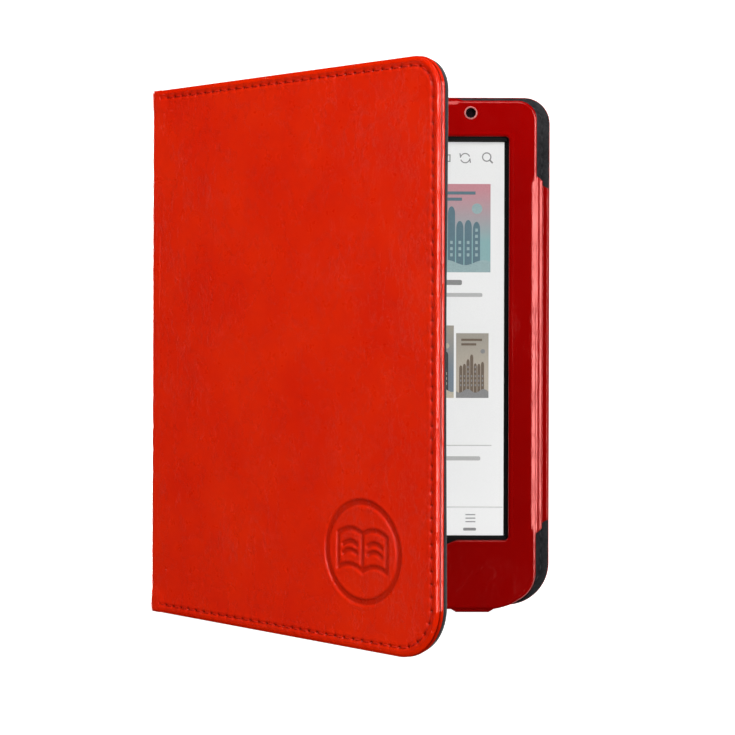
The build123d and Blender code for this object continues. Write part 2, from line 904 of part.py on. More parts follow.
with BuildPart() as power_button:
    with BuildSketch(reader_plane(-button_proud)):
        with Locations((button_x, button_z)):
            Circle(button_diameter / 2)
    extrude(amount=button_proud + flange_depth)
    fillet(power_button.faces().sort_by(Axis.Y)[-1].edges(), button_edge_rounding)
    with BuildSketch(reader_plane(flange_depth)):
        with Locations((button_x, button_z)):
            Circle(flange_diameter / 2)
    extrude(amount=flange_thickness)
    with BuildSketch(reader_plane(flange_depth + flange_thickness)):
        with Locations((button_x, button_z)):
            Circle(stem_diameter / 2)
    extrude(amount=stem_length)

with BuildPart() as button_gasket:
    with BuildSketch(reader_plane(shell_floor)):
        with Locations((button_x, button_z)):
            Circle(gasket_outer_diameter / 2)
            Circle(gasket_inner_diameter / 2, mode=Mode.SUBTRACT)
    extrude(amount=gasket_thickness)

with BuildPart() as power_switch:
    block(
        button_x,
        button_z,
        switch_body_size,
        switch_body_size,
        switch_body_depth,
        switch_board_depth - switch_body_depth,
    )
    with BuildSketch(reader_plane(plunger_depth)):
        with Locations((button_x, button_z)):
            Circle(plunger_diameter / 2)
    extrude(amount=switch_body_depth - plunger_depth)

with BuildPart() as switch_board:
    block(
        switch_board_x,
        button_z,
        switch_board_width,
        switch_board_height,
        switch_board_depth,
        switch_board_thickness,
    )

switch_flex_x = -41.0
switch_flex_width = 4.0
switch_flex_front = switch_board_depth + switch_board_thickness + flex_thickness / 2
switch_flex_back = main_board_face + flex_thickness / 2
switch_flex_top_z = button_z - 3.0
switch_flex_dive_z = 60.0
switch_flex_level_z = 50.0
switch_flex_end_z = board_top - 2.0

with BuildPart() as switch_flex:
    ribbon(
        switch_flex_x,
        switch_flex_width,
        flex_thickness,
        [
            (switch_flex_front, switch_flex_top_z),
            (switch_flex_front, switch_flex_dive_z),
            (switch_flex_back, switch_flex_level_z),
            (switch_flex_back, switch_flex_end_z),
        ],
    )

# ---------------------------------------------------------------- write every piece
pieces = {
    "back_skin": back_skin,
    "back_board": back_board,
    "back_lining": back_lining,
    "spine_skin": spine_skin,
    "spine_board": spine_board,
    "spine_lining": spine_lining,
    "front_skin": front_skin,
    "front_board": front_board,
    "front_lining": front_lining,
    "cover_magnets": cover_magnets,
    "sleep_magnet": sleep_magnet,
    "holder_frame": holder_frame,
    "holder_stiffener": holder_stiffener,
    "holder_magnets": holder_magnets,
    "holder_right_wrap": holder_right_wrap,
    "holder_left_wrap": holder_left_wrap,
    "holder_top_tab": holder_top_tab,
    "holder_bottom_tabs": holder_bottom_tabs,
    "rear_cover": rear_cover,
    "housing_seal": housing_seal,
    "front_bezel": front_bezel,
    "sensor_lens": sensor_lens,
    "mid_frame": mid_frame,
    "frame_screws": frame_screws,
    "e_ink_panel": e_ink_panel,
    "light_guide": light_guide,
    "touch_film": touch_film,
    "front_light_strip": front_light_strip,
    "display_flex": display_flex,
    "touch_flex": touch_flex,
    "main_board": main_board,
    "board_screws": board_screws,
    "processor": processor,
    "memory_chip": memory_chip,
    "board_shield": board_shield,
    "power_chip": power_chip,
    "wireless_module": wireless_module,
    "hall_sensor": hall_sensor,
    "flex_connectors": flex_connectors,
    "usb_c_port": usb_c_port,
    "battery_pads": battery_pads,
    "battery": battery,
    "battery_lead": battery_lead,
    "battery_plug": battery_plug,
    "wifi_antenna": wifi_antenna,
    "antenna_cable": antenna_cable,
    "light_sensor": light_sensor,
    "power_button": power_button,
    "button_gasket": button_gasket,
    "power_switch": power_switch,
    "switch_board": switch_board,
    "switch_flex": switch_flex,
}

os.makedirs("parts", exist_ok=True)
for name, piece in pieces.items():
    piece.part.label = name
    export_step(piece.part, f"parts/{name}.step")
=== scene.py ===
"""Looks of the e-reader in its red leather folio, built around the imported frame."""

import contextlib
import json
import math
import random

import bmesh
import bpy
import numpy as np
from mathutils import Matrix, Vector
from mathutils import noise as smooth_noise


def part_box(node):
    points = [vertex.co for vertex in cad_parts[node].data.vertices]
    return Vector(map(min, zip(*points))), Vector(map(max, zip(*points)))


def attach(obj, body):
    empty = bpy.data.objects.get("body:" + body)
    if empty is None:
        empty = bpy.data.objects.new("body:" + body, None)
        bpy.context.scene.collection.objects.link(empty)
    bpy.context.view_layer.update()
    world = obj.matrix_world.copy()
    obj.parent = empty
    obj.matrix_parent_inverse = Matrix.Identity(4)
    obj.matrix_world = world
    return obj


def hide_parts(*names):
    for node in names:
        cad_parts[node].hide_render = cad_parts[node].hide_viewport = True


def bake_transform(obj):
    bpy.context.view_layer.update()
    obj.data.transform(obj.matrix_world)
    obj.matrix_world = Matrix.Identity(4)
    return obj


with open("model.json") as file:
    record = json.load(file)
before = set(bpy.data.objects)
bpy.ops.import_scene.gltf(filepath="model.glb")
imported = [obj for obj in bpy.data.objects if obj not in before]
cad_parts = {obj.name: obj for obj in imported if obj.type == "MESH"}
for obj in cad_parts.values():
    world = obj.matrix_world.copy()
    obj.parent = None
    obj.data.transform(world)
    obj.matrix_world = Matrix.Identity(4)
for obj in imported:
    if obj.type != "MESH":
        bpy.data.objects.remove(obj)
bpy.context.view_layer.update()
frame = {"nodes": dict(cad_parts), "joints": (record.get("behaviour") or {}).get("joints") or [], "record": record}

MM = 0.001
UP = np.array([0.0, 0.0, 1.0])
random.seed(7)

# ---- places from the frame
joints = {joint["name"]: joint for joint in frame["joints"]}


def fold_line(joint_name):
    """A crease's place in millimetres, at floor height."""
    x, y, _ = joints[joint_name]["pos_m"]
    return np.array([x, y, 0.0]) / MM


def rest_opening(joint_name):
    """How far a crease stands open from closed, in degrees."""
    return -joints[joint_name]["range_deg"][0]


back_fold = fold_line("spine_fold")
cover_fold = fold_line("cover_fold")
spine_heading = 90 + rest_opening("spine_fold")
cover_heading = rest_opening("spine_fold") + rest_opening("cover_fold")
panel_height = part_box("back_skin")[1].z / MM
panel_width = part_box("back_skin")[1].x / MM - back_fold[0]
spine_width = float(np.linalg.norm(cover_fold - back_fold))
outer_face_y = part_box("back_skin")[1].y / MM
inner_face_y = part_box("back_lining")[0].y / MM
outer_depth = back_fold[1] - outer_face_y        # depth of the outer face, below the fold line
inner_depth = back_fold[1] - inner_face_y

# Sizes that only the looks need, in millimetres
CREASE_REACH = 4.0
STITCH_INSET = 2.6
STITCH_PITCH = 3.5
THREAD_RADIUS = 0.2
BOW_RISE, BOW_SINK = 0.17, 0.19
COVER_RADII = (14.6, 9.6)
BACK_RADII = (13.4, 8.2)
LINING_INSET = 0.15
FIELD_STEP = 0.8
EMBLEM_CENTRE = (91.2, 26.9)
EMBLEM_RADIUS = 14.6
BUTTON_PLACE = (-34.0, 144.0)
BUTTON_HOLE_RADIUS = 6.5


class Panel:
    """A flat panel of the folio: a fold line, a heading, and the side its lining is on."""

    def __init__(self, fold, heading, side):
        angle = math.radians(heading)
        self.fold = fold
        self.along = np.array([math.cos(angle), -math.sin(angle), 0.0])
        self.inward = side * np.array([-math.sin(angle), -math.cos(angle), 0.0])

    def place(self, u, v, depth):
        """World points, in metres, from distance along, height and depth in millimetres."""
        u, v, depth = np.broadcast_arrays(u, v, depth)
        points = self.fold + u[..., None] * self.along + depth[..., None] * self.inward
        return (points + v[..., None] * UP) * MM


back_panel = Panel(back_fold, 0, 1)
spine_panel = Panel(back_fold, spine_heading, -1)
cover_panel = Panel(cover_fold, cover_heading, -1)


# ---- mesh helpers
def new_piece(name, points, faces, materials, face_materials=None, smooth=True):
    """A mesh object from points in metres."""
    mesh = bpy.data.meshes.new(name)
    mesh.from_pydata(np.asarray(points, float).reshape(-1, 3).tolist(), [], faces)
    for material in materials:
        mesh.materials.append(material)
    if face_materials is not None:
        mesh.polygons.foreach_set("material_index", face_materials)
    mesh.polygons.foreach_set("use_smooth", [smooth] * len(mesh.polygons))
    mesh.validate()
    mesh.update()
    piece = bpy.data.objects.new(name, mesh)
    bpy.context.scene.collection.objects.link(piece)
    return piece


@contextlib.contextmanager
def edited(piece):
    """A piece's mesh, opened for editing and written back afterwards."""
    shape = bmesh.new()
    shape.from_mesh(piece.data)
    yield shape
    shape.to_mesh(piece.data)
    shape.free()


def front_point(x, forward, z):
    """A point in metres from millimetres across, towards the front and up."""
    return x * MM, -forward * MM, z * MM


def fix_normals(piece):
    """Turns every face outwards."""
    with edited(piece) as shape:
        bmesh.ops.recalc_face_normals(shape, faces=shape.faces)
    return piece


def face_front(piece, index=0):
    """Turns a sheet over if one of its faces looks backwards."""
    if piece.data.polygons[index].normal.y > 0:
        piece.data.flip_normals()


def turned_to(faces, points, outward):
    """The same faces, turned over if the first one looks the wrong way."""
    a, b, c = (points[corner] for corner in faces[0][:3])
    if np.cross(b - a, c - a).dot(outward) > 0:
        return faces
    return [face[::-1] for face in faces]


def cut_round_hole(piece, centre, axis, cut_radius, rim_radius, reach):
    """Opens a round hole in a sheet and pulls the edge of the opening onto a circle."""

    def spoke(point):
        """A point's offset from the hole's axis."""
        offset = np.array(point) - centre
        return offset - offset.dot(axis) * axis

    with edited(piece) as shape:
        inside = [face for face in shape.faces
                  if np.linalg.norm(spoke(face.calc_center_median())) < cut_radius * MM]
        bmesh.ops.delete(shape, geom=inside, context="FACES")
        for vertex in shape.verts:
            offset = spoke(vertex.co)
            length = np.linalg.norm(offset)
            if vertex.is_boundary and length < reach * MM:
                vertex.co += Vector((offset * (rim_radius * MM / length - 1)).tolist())


def grid_faces(rows, columns, first=0, closed=False):
    """Quads between neighbouring rows of points."""
    span = columns if closed else columns - 1
    faces = []
    for row in range(rows - 1):
        for column in range(span):
            a = first + row * columns + column
            b = first + row * columns + (column + 1) % columns
            faces.append((a, b, b + columns, a + columns))
    return faces


def capped_tube(rows, count, first=0):
    """Faces of a closed tube of point rings with a cap at each end."""
    last = first + (rows - 1) * count
    caps = [tuple(range(first + count - 1, first - 1, -1)), tuple(range(last, last + count))]
    return grid_faces(rows, count, first, closed=True) + caps


def paint(piece, name, values):
    """Stores a number per point for a material to read."""
    attribute = piece.data.attributes.new(name, "FLOAT", "POINT")
    attribute.data.foreach_set("value", np.asarray(values, np.float32).ravel())


def thicken(piece, thickness):
    """Gives a sheet its thickness, behind its face."""
    modifier = piece.modifiers.new("thickness", "SOLIDIFY")
    modifier.thickness = thickness * MM
    modifier.offset = -1


def apply_modifiers(piece):
    """Replaces a piece's mesh with what its modifiers make of it."""
    graph = bpy.context.evaluated_depsgraph_get()
    mesh = bpy.data.meshes.new_from_object(piece.evaluated_get(graph))
    piece.modifiers.clear()
    piece.data = mesh


def unit(vectors):
    """Rows of vectors, each made one long."""
    return vectors / np.linalg.norm(vectors, axis=1, keepdims=True)


def smoothstep(value):
    """0 below 0, 1 above 1, and a smooth rise between."""
    value = np.clip(value, 0, 1)
    return value * value * (3 - 2 * value)


def bell(value, width):
    """1 at zero, falling off over a width."""
    return np.exp(-((value / width) ** 2))


def steps_between(start, end, fine, coarse, fine_from, fine_to):
    """Numbers from start to end, closer together between two limits."""
    places = [start]
    while places[-1] < end:
        here = places[-1]
        places.append(here + (fine if fine_from <= here <= fine_to else coarse))
    places = np.array(places)
    return start + (places - start) * (end - start) / (places[-1] - start)


# ---- materials
class Surface:
    """A material being built from nodes around its Principled shader."""

    def __init__(self, name):
        self.material = bpy.data.materials.new(name)
        self.material.use_nodes = True
        self.tree = self.material.node_tree
        self.position = self.node("ShaderNodeTexCoord").outputs["Object"]

    def node(self, kind, **settings):
        """A node with its properties set and its named inputs filled."""
        node = self.tree.nodes.new(kind)
        for key, value in settings.items():
            if key in node.inputs:
                node.inputs[key].default_value = value
            else:
                setattr(node, key, value)
        return node

    def feed(self, socket, value):
        """Gives a socket a number, a colour, or another node's output."""
        if isinstance(value, (int, float)):
            socket.default_value = value
        elif isinstance(value, tuple):
            socket.default_value = (*value, 1.0)
        else:
            self.tree.links.new(value, socket)

    def put(self, **looks):
        """Feeds the shader's sockets; a name's underscores stand for spaces."""
        for key, value in looks.items():
            self.feed(self.tree.nodes["Principled BSDF"].inputs[key.replace("_", " ")], value)

    def noise(self, scale, detail=4.0, roughness=0.55, stretch=None):
        """Noise of a given scale, stretched along an axis if asked."""
        node = self.node("ShaderNodeTexNoise", Scale=scale, Detail=detail, Roughness=roughness)
        place = self.position
        if stretch is not None:
            mapping = self.node("ShaderNodeMapping", Scale=stretch)
            self.feed(mapping.inputs["Vector"], place)
            place = mapping.outputs["Vector"]
        self.feed(node.inputs["Vector"], place)
        return node.outputs["Fac"]

    def height(self):
        """How high a place on the surface is."""
        node = self.node("ShaderNodeSeparateXYZ")
        self.feed(node.inputs["Vector"], self.position)
        return node.outputs["Z"]

    def painted(self, name):
        """A number stored per point of the mesh."""
        return self.node("ShaderNodeAttribute", attribute_name=name).outputs["Fac"]

    def remap(self, value, *limits):
        """A number moved from one range to another, and held inside it."""
        node = self.node("ShaderNodeMapRange")
        self.feed(node.inputs["Value"], value)
        for key, limit in zip(("From Min", "From Max", "To Min", "To Max"), limits):
            self.feed(node.inputs[key], limit)
        return node.outputs["Result"]

    def combine(self, first, second, operation):
        """Arithmetic on two numbers, either of which may be a constant."""
        node = self.node("ShaderNodeMath", operation=operation)
        for socket, value in zip(node.inputs, (first, second)):
            self.feed(socket, value)
        return node.outputs["Value"]

    def weigh(self, *pairs):
        """Numbers added up, each multiplied by a weight."""
        total = None
        for value, weight in pairs:
            part = self.combine(value, weight, "MULTIPLY")
            total = part if total is None else self.combine(total, part, "ADD")
        return total

    def lines(self, value, width):
        """1 along the thin lines where a noise crosses its middle, 0 beside them."""
        offset = self.combine(self.combine(value, 0.5, "SUBTRACT"), 0.0, "ABSOLUTE")
        return self.remap(offset, 0.0, width, 1.0, 0.0)

    def mix(self, share, first, second):
        """Two colours mixed by a share."""
        node = self.node("ShaderNodeMix", data_type="RGBA", blend_type="MIX")
        for index, value in ((0, share), (6, first), (7, second)):
            self.feed(node.inputs[index], value)
        return node.outputs[2]

    def bump(self, height, distance):
        """Relief from a height."""
        node = self.node("ShaderNodeBump", Strength=1.0, Distance=distance)
        self.feed(node.inputs["Height"], height)
        self.put(Normal=node.outputs["Normal"])


def scaled(colour, factor):
    """A colour made darker or lighter."""
    return tuple(factor * channel for channel in colour)


RECESS_SHADE = 0.4             # how dark the painted shade in recesses makes a place, beside a surface's own dark colour


def leather(name, dark, light, rough_low, rough_high, marks, grain):
    """Coated leather: cloudy colour, fine grain, faint creases and thin rubbed scratches."""
    look = Surface(name)
    clouds = look.noise(46, detail=6, roughness=0.6)
    blotches = look.noise(230, detail=5, roughness=0.62)
    patches = look.noise(30, detail=3)
    contours = look.noise(55, detail=7, roughness=0.72, stretch=(2.4, 2.4, 0.7))
    wrinkles = look.noise(80, detail=8, roughness=0.7)
    pores = look.node("ShaderNodeTexVoronoi", Scale=1500.0, Randomness=1.0)
    look.feed(pores.inputs["Vector"], look.position)

    base = look.mix(look.remap(clouds, 0.34, 0.66, 0.0, 1.0), dark, light)
    base = look.mix(look.remap(blotches, 0.46, 0.64, 0.0, 0.2 * marks), base, scaled(dark, 0.86))
    scratch = look.combine(look.lines(contours, 0.008), look.remap(patches, 0.48, 0.58, 0.0, 1.0), "MULTIPLY")
    pale = tuple(min(1.0, c * 1.3 + 0.03) for c in light)
    base = look.mix(look.combine(scratch, 0.42 * marks, "MULTIPLY"), base, pale)
    # painted shade: needle holes, grooves and the emblem's sunk lines darken towards the dark colour
    base = look.mix(look.painted("shaded_recess"), base, scaled(dark, RECESS_SHADE))
    rough = look.remap(blotches, 0.35, 0.65, rough_low, rough_high)
    gloss = look.remap(look.painted("polish"), 0.0, 1.0, 1.0, 0.42)
    look.put(Base_Color=base, Roughness=look.combine(rough, gloss, "MULTIPLY"),
             Specular_IOR_Level=0.5, Specular_Tint=(1.0, 0.32, 0.3))
    look.bump(look.weigh((pores.outputs["Distance"], grain), (look.lines(wrinkles, 0.02), -0.35 * marks),
                         (scratch, 0.5 * marks), (blotches, 0.55 * marks)), 0.00012)
    return look.material


def microfibre(name, dark, light):
    """Short-napped lining cloth."""
    look = Surface(name)
    nap = look.noise(1600, detail=3)
    brushed = look.noise(130, detail=5, roughness=0.65, stretch=(1.0, 1.0, 0.45))
    share = look.remap(look.weigh((nap, 0.45), (brushed, 0.55)), 0.38, 0.62, 0.0, 1.0)
    # painted shade: needle holes in the lining darken towards the dark colour
    base = look.mix(look.painted("shaded_recess"), look.mix(share, dark, light), scaled(dark, RECESS_SHADE))
    look.put(Base_Color=base, Roughness=look.remap(nap, 0.3, 0.7, 0.8, 0.96),
             Sheen_Weight=0.35, Sheen_Roughness=0.4, Specular_IOR_Level=0.2)
    look.bump(nap, 0.0001)
    return look.material


def moulded(name, dark, light, roughness, grain_scale, grain_height, metallic=0.0, specular=0.5):
    """Moulded plastic, metal, board or thread: fine grain, slight colour and gloss variation."""
    look = Surface(name)
    soft = look.noise(90, detail=5)
    grain = look.noise(grain_scale, detail=3)
    look.put(Base_Color=look.mix(look.remap(soft, 0.35, 0.65, 0.0, 1.0), dark, light),
             Roughness=look.remap(grain, 0.3, 0.7, *roughness),
             Metallic=metallic, Specular_IOR_Level=specular)
    look.bump(grain, grain_height)
    return look.material


PAINTED_PAGE_GLOW = (1.02, 0.5)       # painted glow at the foot and at the head of the page: light painted onto the page, strongest at the foot
INK_STRENGTH = 0.55             # how much of a printed colour is its own colour; the rest is the painted glow


def page_with_painted_glow(look, base, speckle, roughness, specular):
    """Colour, painted glow and gloss of a place on the page. The glow is light painted onto the page, strongest at
    the foot, where the top light falls off and the flap shades the page.
    """
    look.put(Base_Color=base, Emission_Color=base,
             Emission_Strength=look.remap(look.height(), 0.03, 0.15, *PAINTED_PAGE_GLOW),
             Roughness=look.remap(speckle, 0.3, 0.7, *roughness), Specular_IOR_Level=specular)
    return look.material


def paper_white(name):
    """Electronic-paper page: faint speckle of the ink capsules under an etched film."""
    look = Surface(name)
    capsules = look.noise(5200, detail=2)
    share = look.weigh((capsules, 0.6), (look.noise(18, detail=2), 0.4))
    base = look.mix(look.remap(share, 0.35, 0.65, 0.0, 1.0), (0.44, 0.442, 0.44), (0.49, 0.492, 0.49))
    return page_with_painted_glow(look, base, capsules, (0.52, 0.66), 0.3)


def printed(name, colour, specular=0.3):
    """One ink tone on the page, with the display's fine speckle."""
    look = Surface(name)
    speckle = look.noise(4200, detail=2)
    base = look.mix(look.remap(speckle, 0.35, 0.65, 0.0, 1.0),
                    scaled(colour, INK_STRENGTH * 0.88), scaled(colour, INK_STRENGTH * 1.12))
    return page_with_painted_glow(look, base, speckle, (0.55, 0.7), specular)


def printed_sky(name, foot, top, z_low, z_high):
    """A printed tone that grades from one colour to another with height."""
    look = Surface(name)
    speckle = look.noise(4200, detail=2)
    base = look.mix(look.remap(look.height(), z_low * MM, z_high * MM, 0.0, 1.0),
                    scaled(foot, INK_STRENGTH), scaled(top, INK_STRENGTH))
    base = look.mix(look.remap(speckle, 0.3, 0.7, 0.0, 0.16), base, (0.0, 0.0, 0.0))
    return page_with_painted_glow(look, base, speckle, (0.55, 0.7), 0.3)


cover_leather = leather("cover_leather", (0.605, 0.0105, 0.0), (0.655, 0.016, 0.0001),
                        0.27, 0.35, marks=0.8, grain=0.11)
# The holder's red is deeper than the cover's: partly its own colour, partly painted shade from the flap standing
# over it
holder_leather = leather("holder_leather", (0.27, 0.0, 0.0), (0.295, 0.0002, 0.0001),
                         0.15, 0.2, marks=0.12, grain=0.04)
lining_cloth = microfibre("lining_cloth", (0.012, 0.012, 0.0135), (0.034, 0.034, 0.037))
# A pale leather colour that paints highlights: round the holder's lower corners and round the sensor's hole
painted_edge_highlight = moulded("painted_highlight_edge", (0.42, 0.10, 0.095), (0.55, 0.17, 0.16), (0.22, 0.36), 1700, 0.00003)
thread = moulded("thread", (0.38, 0.006, 0.001), (0.50, 0.012, 0.002), (0.5, 0.75), 2600, 0.00006,
                 specular=0.12)
dark_thread = moulded("dark_thread", (0.014, 0.014, 0.016), (0.032, 0.032, 0.035), (0.55, 0.8), 2600, 0.00006)


# ---- folio outlines
def on_circle(centre, radius, angle):
    """A point of a circle, and the direction out of it."""
    out = (math.cos(angle), math.sin(angle))
    return (centre[0] + out[0] * radius, centre[1] + out[1] * radius), out


class Outline:
    """A panel's outline: straight at the crease, rounded at its two free corners."""

    def __init__(self, start, end, low, high, radii):
        self.start, self.end, self.low, self.high = start, end, low, high
        self.bottom_radius, self.top_radius = radii
        self.low_turn = (end - radii[0], low + radii[0])
        self.top_turn = (end - radii[1], high - radii[1])

    def inset(self, distance):
        """The same outline moved inwards on its three free sides."""
        radii = (max(self.bottom_radius - distance, 0), max(self.top_radius - distance, 0))
        return Outline(self.start, self.end - distance, self.low + distance, self.high - distance, radii)

    def reach(self, v):
        """How far along the outline reaches at a height."""
        rb, rt = self.bottom_radius, self.top_radius
        below = np.clip(self.low_turn[1] - v, 0, rb)
        above = np.clip(v - self.top_turn[1], 0, rt)
        return self.end - (rb - np.sqrt(rb**2 - below**2)) - (rt - np.sqrt(rt**2 - above**2))

    def heights(self, step, fine_from, fine_to, fine):
        """Heights for rows of points, closer together round the corners."""
        quarter = math.pi / 2
        low_turn = np.linspace(0, quarter, int(self.bottom_radius * quarter / fine) + 2)[:-1]
        top_turn = np.linspace(0, quarter, int(self.top_radius * quarter / step) + 2)
        middle = steps_between(self.low_turn[1], self.top_turn[1], fine, step, fine_from, fine_to)
        return np.concatenate([self.low + self.bottom_radius * (1 - np.cos(low_turn)), middle[:-1],
                               self.high - self.top_radius * (1 - np.sin(top_turn))])

    def lengths(self, path_inset):
        """Lengths of the inset path's first straight, lower turn, side, upper turn and last straight."""
        rb, rt = self.bottom_radius, self.top_radius
        return (self.low_turn[0] - self.start, (rb - path_inset) * math.pi / 2,
                self.top_turn[1] - self.low_turn[1], (rt - path_inset) * math.pi / 2,
                self.top_turn[0] - self.start)

    def edge(self, u, v, path_inset):
        """Distance from the free edge, and distance along a path inset from it."""
        u, v = np.broadcast_arrays(np.asarray(u, float), np.asarray(v, float))
        low_x, low_y = self.low_turn
        top_x, top_y = self.top_turn
        first, turn_low, side, turn_top, _ = self.lengths(path_inset)
        ways = np.stack([v - self.low, self.end - u, self.high - v])
        nearest = ways.argmin(axis=0)
        along = np.where(nearest == 0, u - self.start,
                         np.where(nearest == 1, first + turn_low + v - low_y,
                                  first + turn_low + side + turn_top + top_x - u))
        distance = ways.min(axis=0)
        for x, y, radius, corner, angle, before in (
            (low_x, low_y, self.bottom_radius, (u > low_x) & (v < low_y),
             np.arctan2(u - low_x, low_y - v), first),
            (top_x, top_y, self.top_radius, (u > top_x) & (v > top_y),
             np.arctan2(v - top_y, u - top_x), first + turn_low + side),
        ):
            distance = np.where(corner, radius - np.hypot(u - x, v - y), distance)
            along = np.where(corner, before + angle * (radius - path_inset), along)
        return distance, along

    def path_point(self, along, path_inset):
        """The point at a distance along the inset path, and the direction out of the panel."""
        first, turn_low, side, turn_top, _ = self.lengths(path_inset)
        if along < first:
            return (self.start + along, self.low + path_inset), (0.0, -1.0)
        along -= first
        if along < turn_low:
            radius = self.bottom_radius - path_inset
            return on_circle(self.low_turn, radius, along / radius - math.pi / 2)
        along -= turn_low
        if along < side:
            return (self.end - path_inset, self.low_turn[1] + along), (1.0, 0.0)
        along -= side
        if along < turn_top:
            radius = self.top_radius - path_inset
            return on_circle(self.top_turn, radius, along / radius)
        return (self.top_turn[0] - along + turn_top, self.high - path_inset), (0.0, 1.0)


WAVE_WIDTH, WAVE_HEIGHT = 34, 41


def waviness(u, v, seed, amount):
    """Slight unevenness of a glued skin, a few centimetres across."""
    flat = np.zeros(u.shape)
    for index in np.ndindex(u.shape):
        place = (u[index] / WAVE_WIDTH + seed, v[index] / WAVE_HEIGHT, seed * 0.37)
        flat[index] = smooth_noise.noise(place)
    return amount * flat


CHANNEL_DEPTH, CHANNEL_WIDTH = 0.1, 0.42        # the thread's sunk line
HOLE_DEPTH, HOLE_LENGTH, HOLE_WIDTH = 0.45, 0.42, 0.36
PUCKER_RISE = 0.09


def stitch_relief(u, v, outline, path_inset, shift=0.0):
    """A sewn line's channel, needle holes and puckers as rise and painted shade, and the way to the edge."""
    edge_distance, along = outline.edge(u, v, path_inset)
    length = sum(outline.lengths(path_inset))
    pitch = length / round(length / STITCH_PITCH)
    phase = np.abs((along / pitch + 0.5) % 1 - 0.5) * pitch
    from_line = edge_distance + shift - STITCH_INSET
    channel = bell(from_line, CHANNEL_WIDTH)
    hole = bell(phase, HOLE_LENGTH) * bell(from_line, HOLE_WIDTH)
    pucker = (bell(from_line - 0.95, 0.5) + bell(from_line + 0.95, 0.45)) * (1 - bell(phase, 0.9))
    rise = -CHANNEL_DEPTH * channel - HOLE_DEPTH * hole + PUCKER_RISE * pucker
    # painted shade: the needle holes and the thread's channel come out darker
    return rise, np.clip(0.12 * channel + 1.3 * hole, 0, 1), edge_distance


# ---- emblem pressed into the cover
RING_HALF_WIDTH = 0.85
STROKE_HALF_WIDTH = 0.62
EMBLEM_DEPTH = 0.34


def arc_points(start, bend, end):
    """A curve from start to end, pulled towards bend."""
    t = np.linspace(0, 1, 14)[:, None]
    start, bend, end = (np.array(point, float) for point in (start, bend, end))
    return (1 - t) ** 2 * start + 2 * t * (1 - t) * bend + t**2 * end


def emblem_strokes():
    """An open book drawn in a few strokes, each a list of points from the emblem's centre."""
    strokes = [np.array([(0.0, 4.9), (0.0, -5.3)])]
    for side in (-1, 1):
        strokes.append(arc_points((0, 4.9), (side * 4.6, 7.6), (side * 9.2, 4.6)))
        strokes.append(np.array([(side * 9.2, 4.6), (side * 9.2, -4.9)]))
        strokes.append(arc_points((0, -5.3), (side * 4.6, -2.4), (side * 9.2, -4.9)))
        for drop in (2.6, 5.0):
            strokes.append(arc_points((side * 2.2, 4.5 - drop), (side * 4.8, 6.1 - drop),
                                      (side * 7.3, 4.2 - drop)))
    return strokes


def distance_to_stroke(x, y, stroke):
    """Distance from every point to a polyline."""
    nearest = np.full(x.shape, 1e9)
    for (ax, ay), (bx, by) in zip(stroke[:-1], stroke[1:]):
        dx, dy = bx - ax, by - ay
        t = np.clip(((x - ax) * dx + (y - ay) * dy) / (dx * dx + dy * dy), 0, 1)
        nearest = np.minimum(nearest, np.hypot(x - ax - t * dx, y - ay - t * dy))
    return nearest


def emblem_relief(u, v):
    """Depth of the emblem, a ring round an open book, with painted shade in its sunk lines."""
    x, y = u - EMBLEM_CENTRE[0], v - EMBLEM_CENTRE[1]
    from_centre = np.hypot(x, y)
    near = from_centre < EMBLEM_RADIUS + 3
    gap = np.full(x.shape, 9.0)
    gap[near] = (np.abs(from_centre - EMBLEM_RADIUS + 0.9) - RING_HALF_WIDTH)[near]
    for stroke in emblem_strokes():
        gap[near] = np.minimum(gap[near], distance_to_stroke(x[near], y[near], stroke) - STROKE_HALF_WIDTH)
    shaded_recess = smoothstep(0.5 - gap / 0.5)
    # the sunk lines get painted shade as well as depth
    return -EMBLEM_DEPTH * shaded_recess + 0.05 * bell(gap - 0.75, 0.4), 0.5 * shaded_recess


# ---- folio skins
# Turned edges, as distances in from the outline and depths below the face
SKIN_EDGE = [
    (0.06, 0.4), (0.03, 0.48), (0.08, 0.57), (0.16, 0.68), (0.21, 0.82), (0.22, 0.96), (0.22, 1.1),
    (0.2, 1.22), (0.15, 1.31), (0.08, 1.44), (0.01, 1.57), (-0.06, 1.7), (-0.08, 1.84), (-0.04, 2.0),
    (0.08, 2.12), (0.5, 2.18), (1.2, 2.2),
]
LINING_EDGE = [
    (0.2, 0.02), (0.08, 0.08), (0.02, 0.2), (0.0, 0.38), (0.0, 0.56), (0.06, 0.7), (0.3, 0.79), (1.0, 0.8),
]
# Insets of the point rings between a panel's even field and its turned edge
FIELD_INSET = 5.2
BAND_INSETS = (
    4.6, 4.1, 3.7, 3.35, 3.05, 2.8, 2.6, 2.4, 2.15, 1.85, 1.6, 1.4, 1.25, 1.12, 1.0, 0.86, 0.72, 0.58,
    0.44, 0.3, 0.18,
)


HEM_RISE, HEM_WIDTH, HEM_FADE = 0.26, 7.4, 2.6
CREASE_LINE_WIDTH = 1.8


def from_ends(v):
    """Distance from the nearer end of a panel's height."""
    return np.minimum(v, panel_height - v)


def hem_flare(v):
    """How far the turned hem stands out at the two ends of the spine."""
    return HEM_RISE * smoothstep((HEM_WIDTH - from_ends(v)) / HEM_FADE)


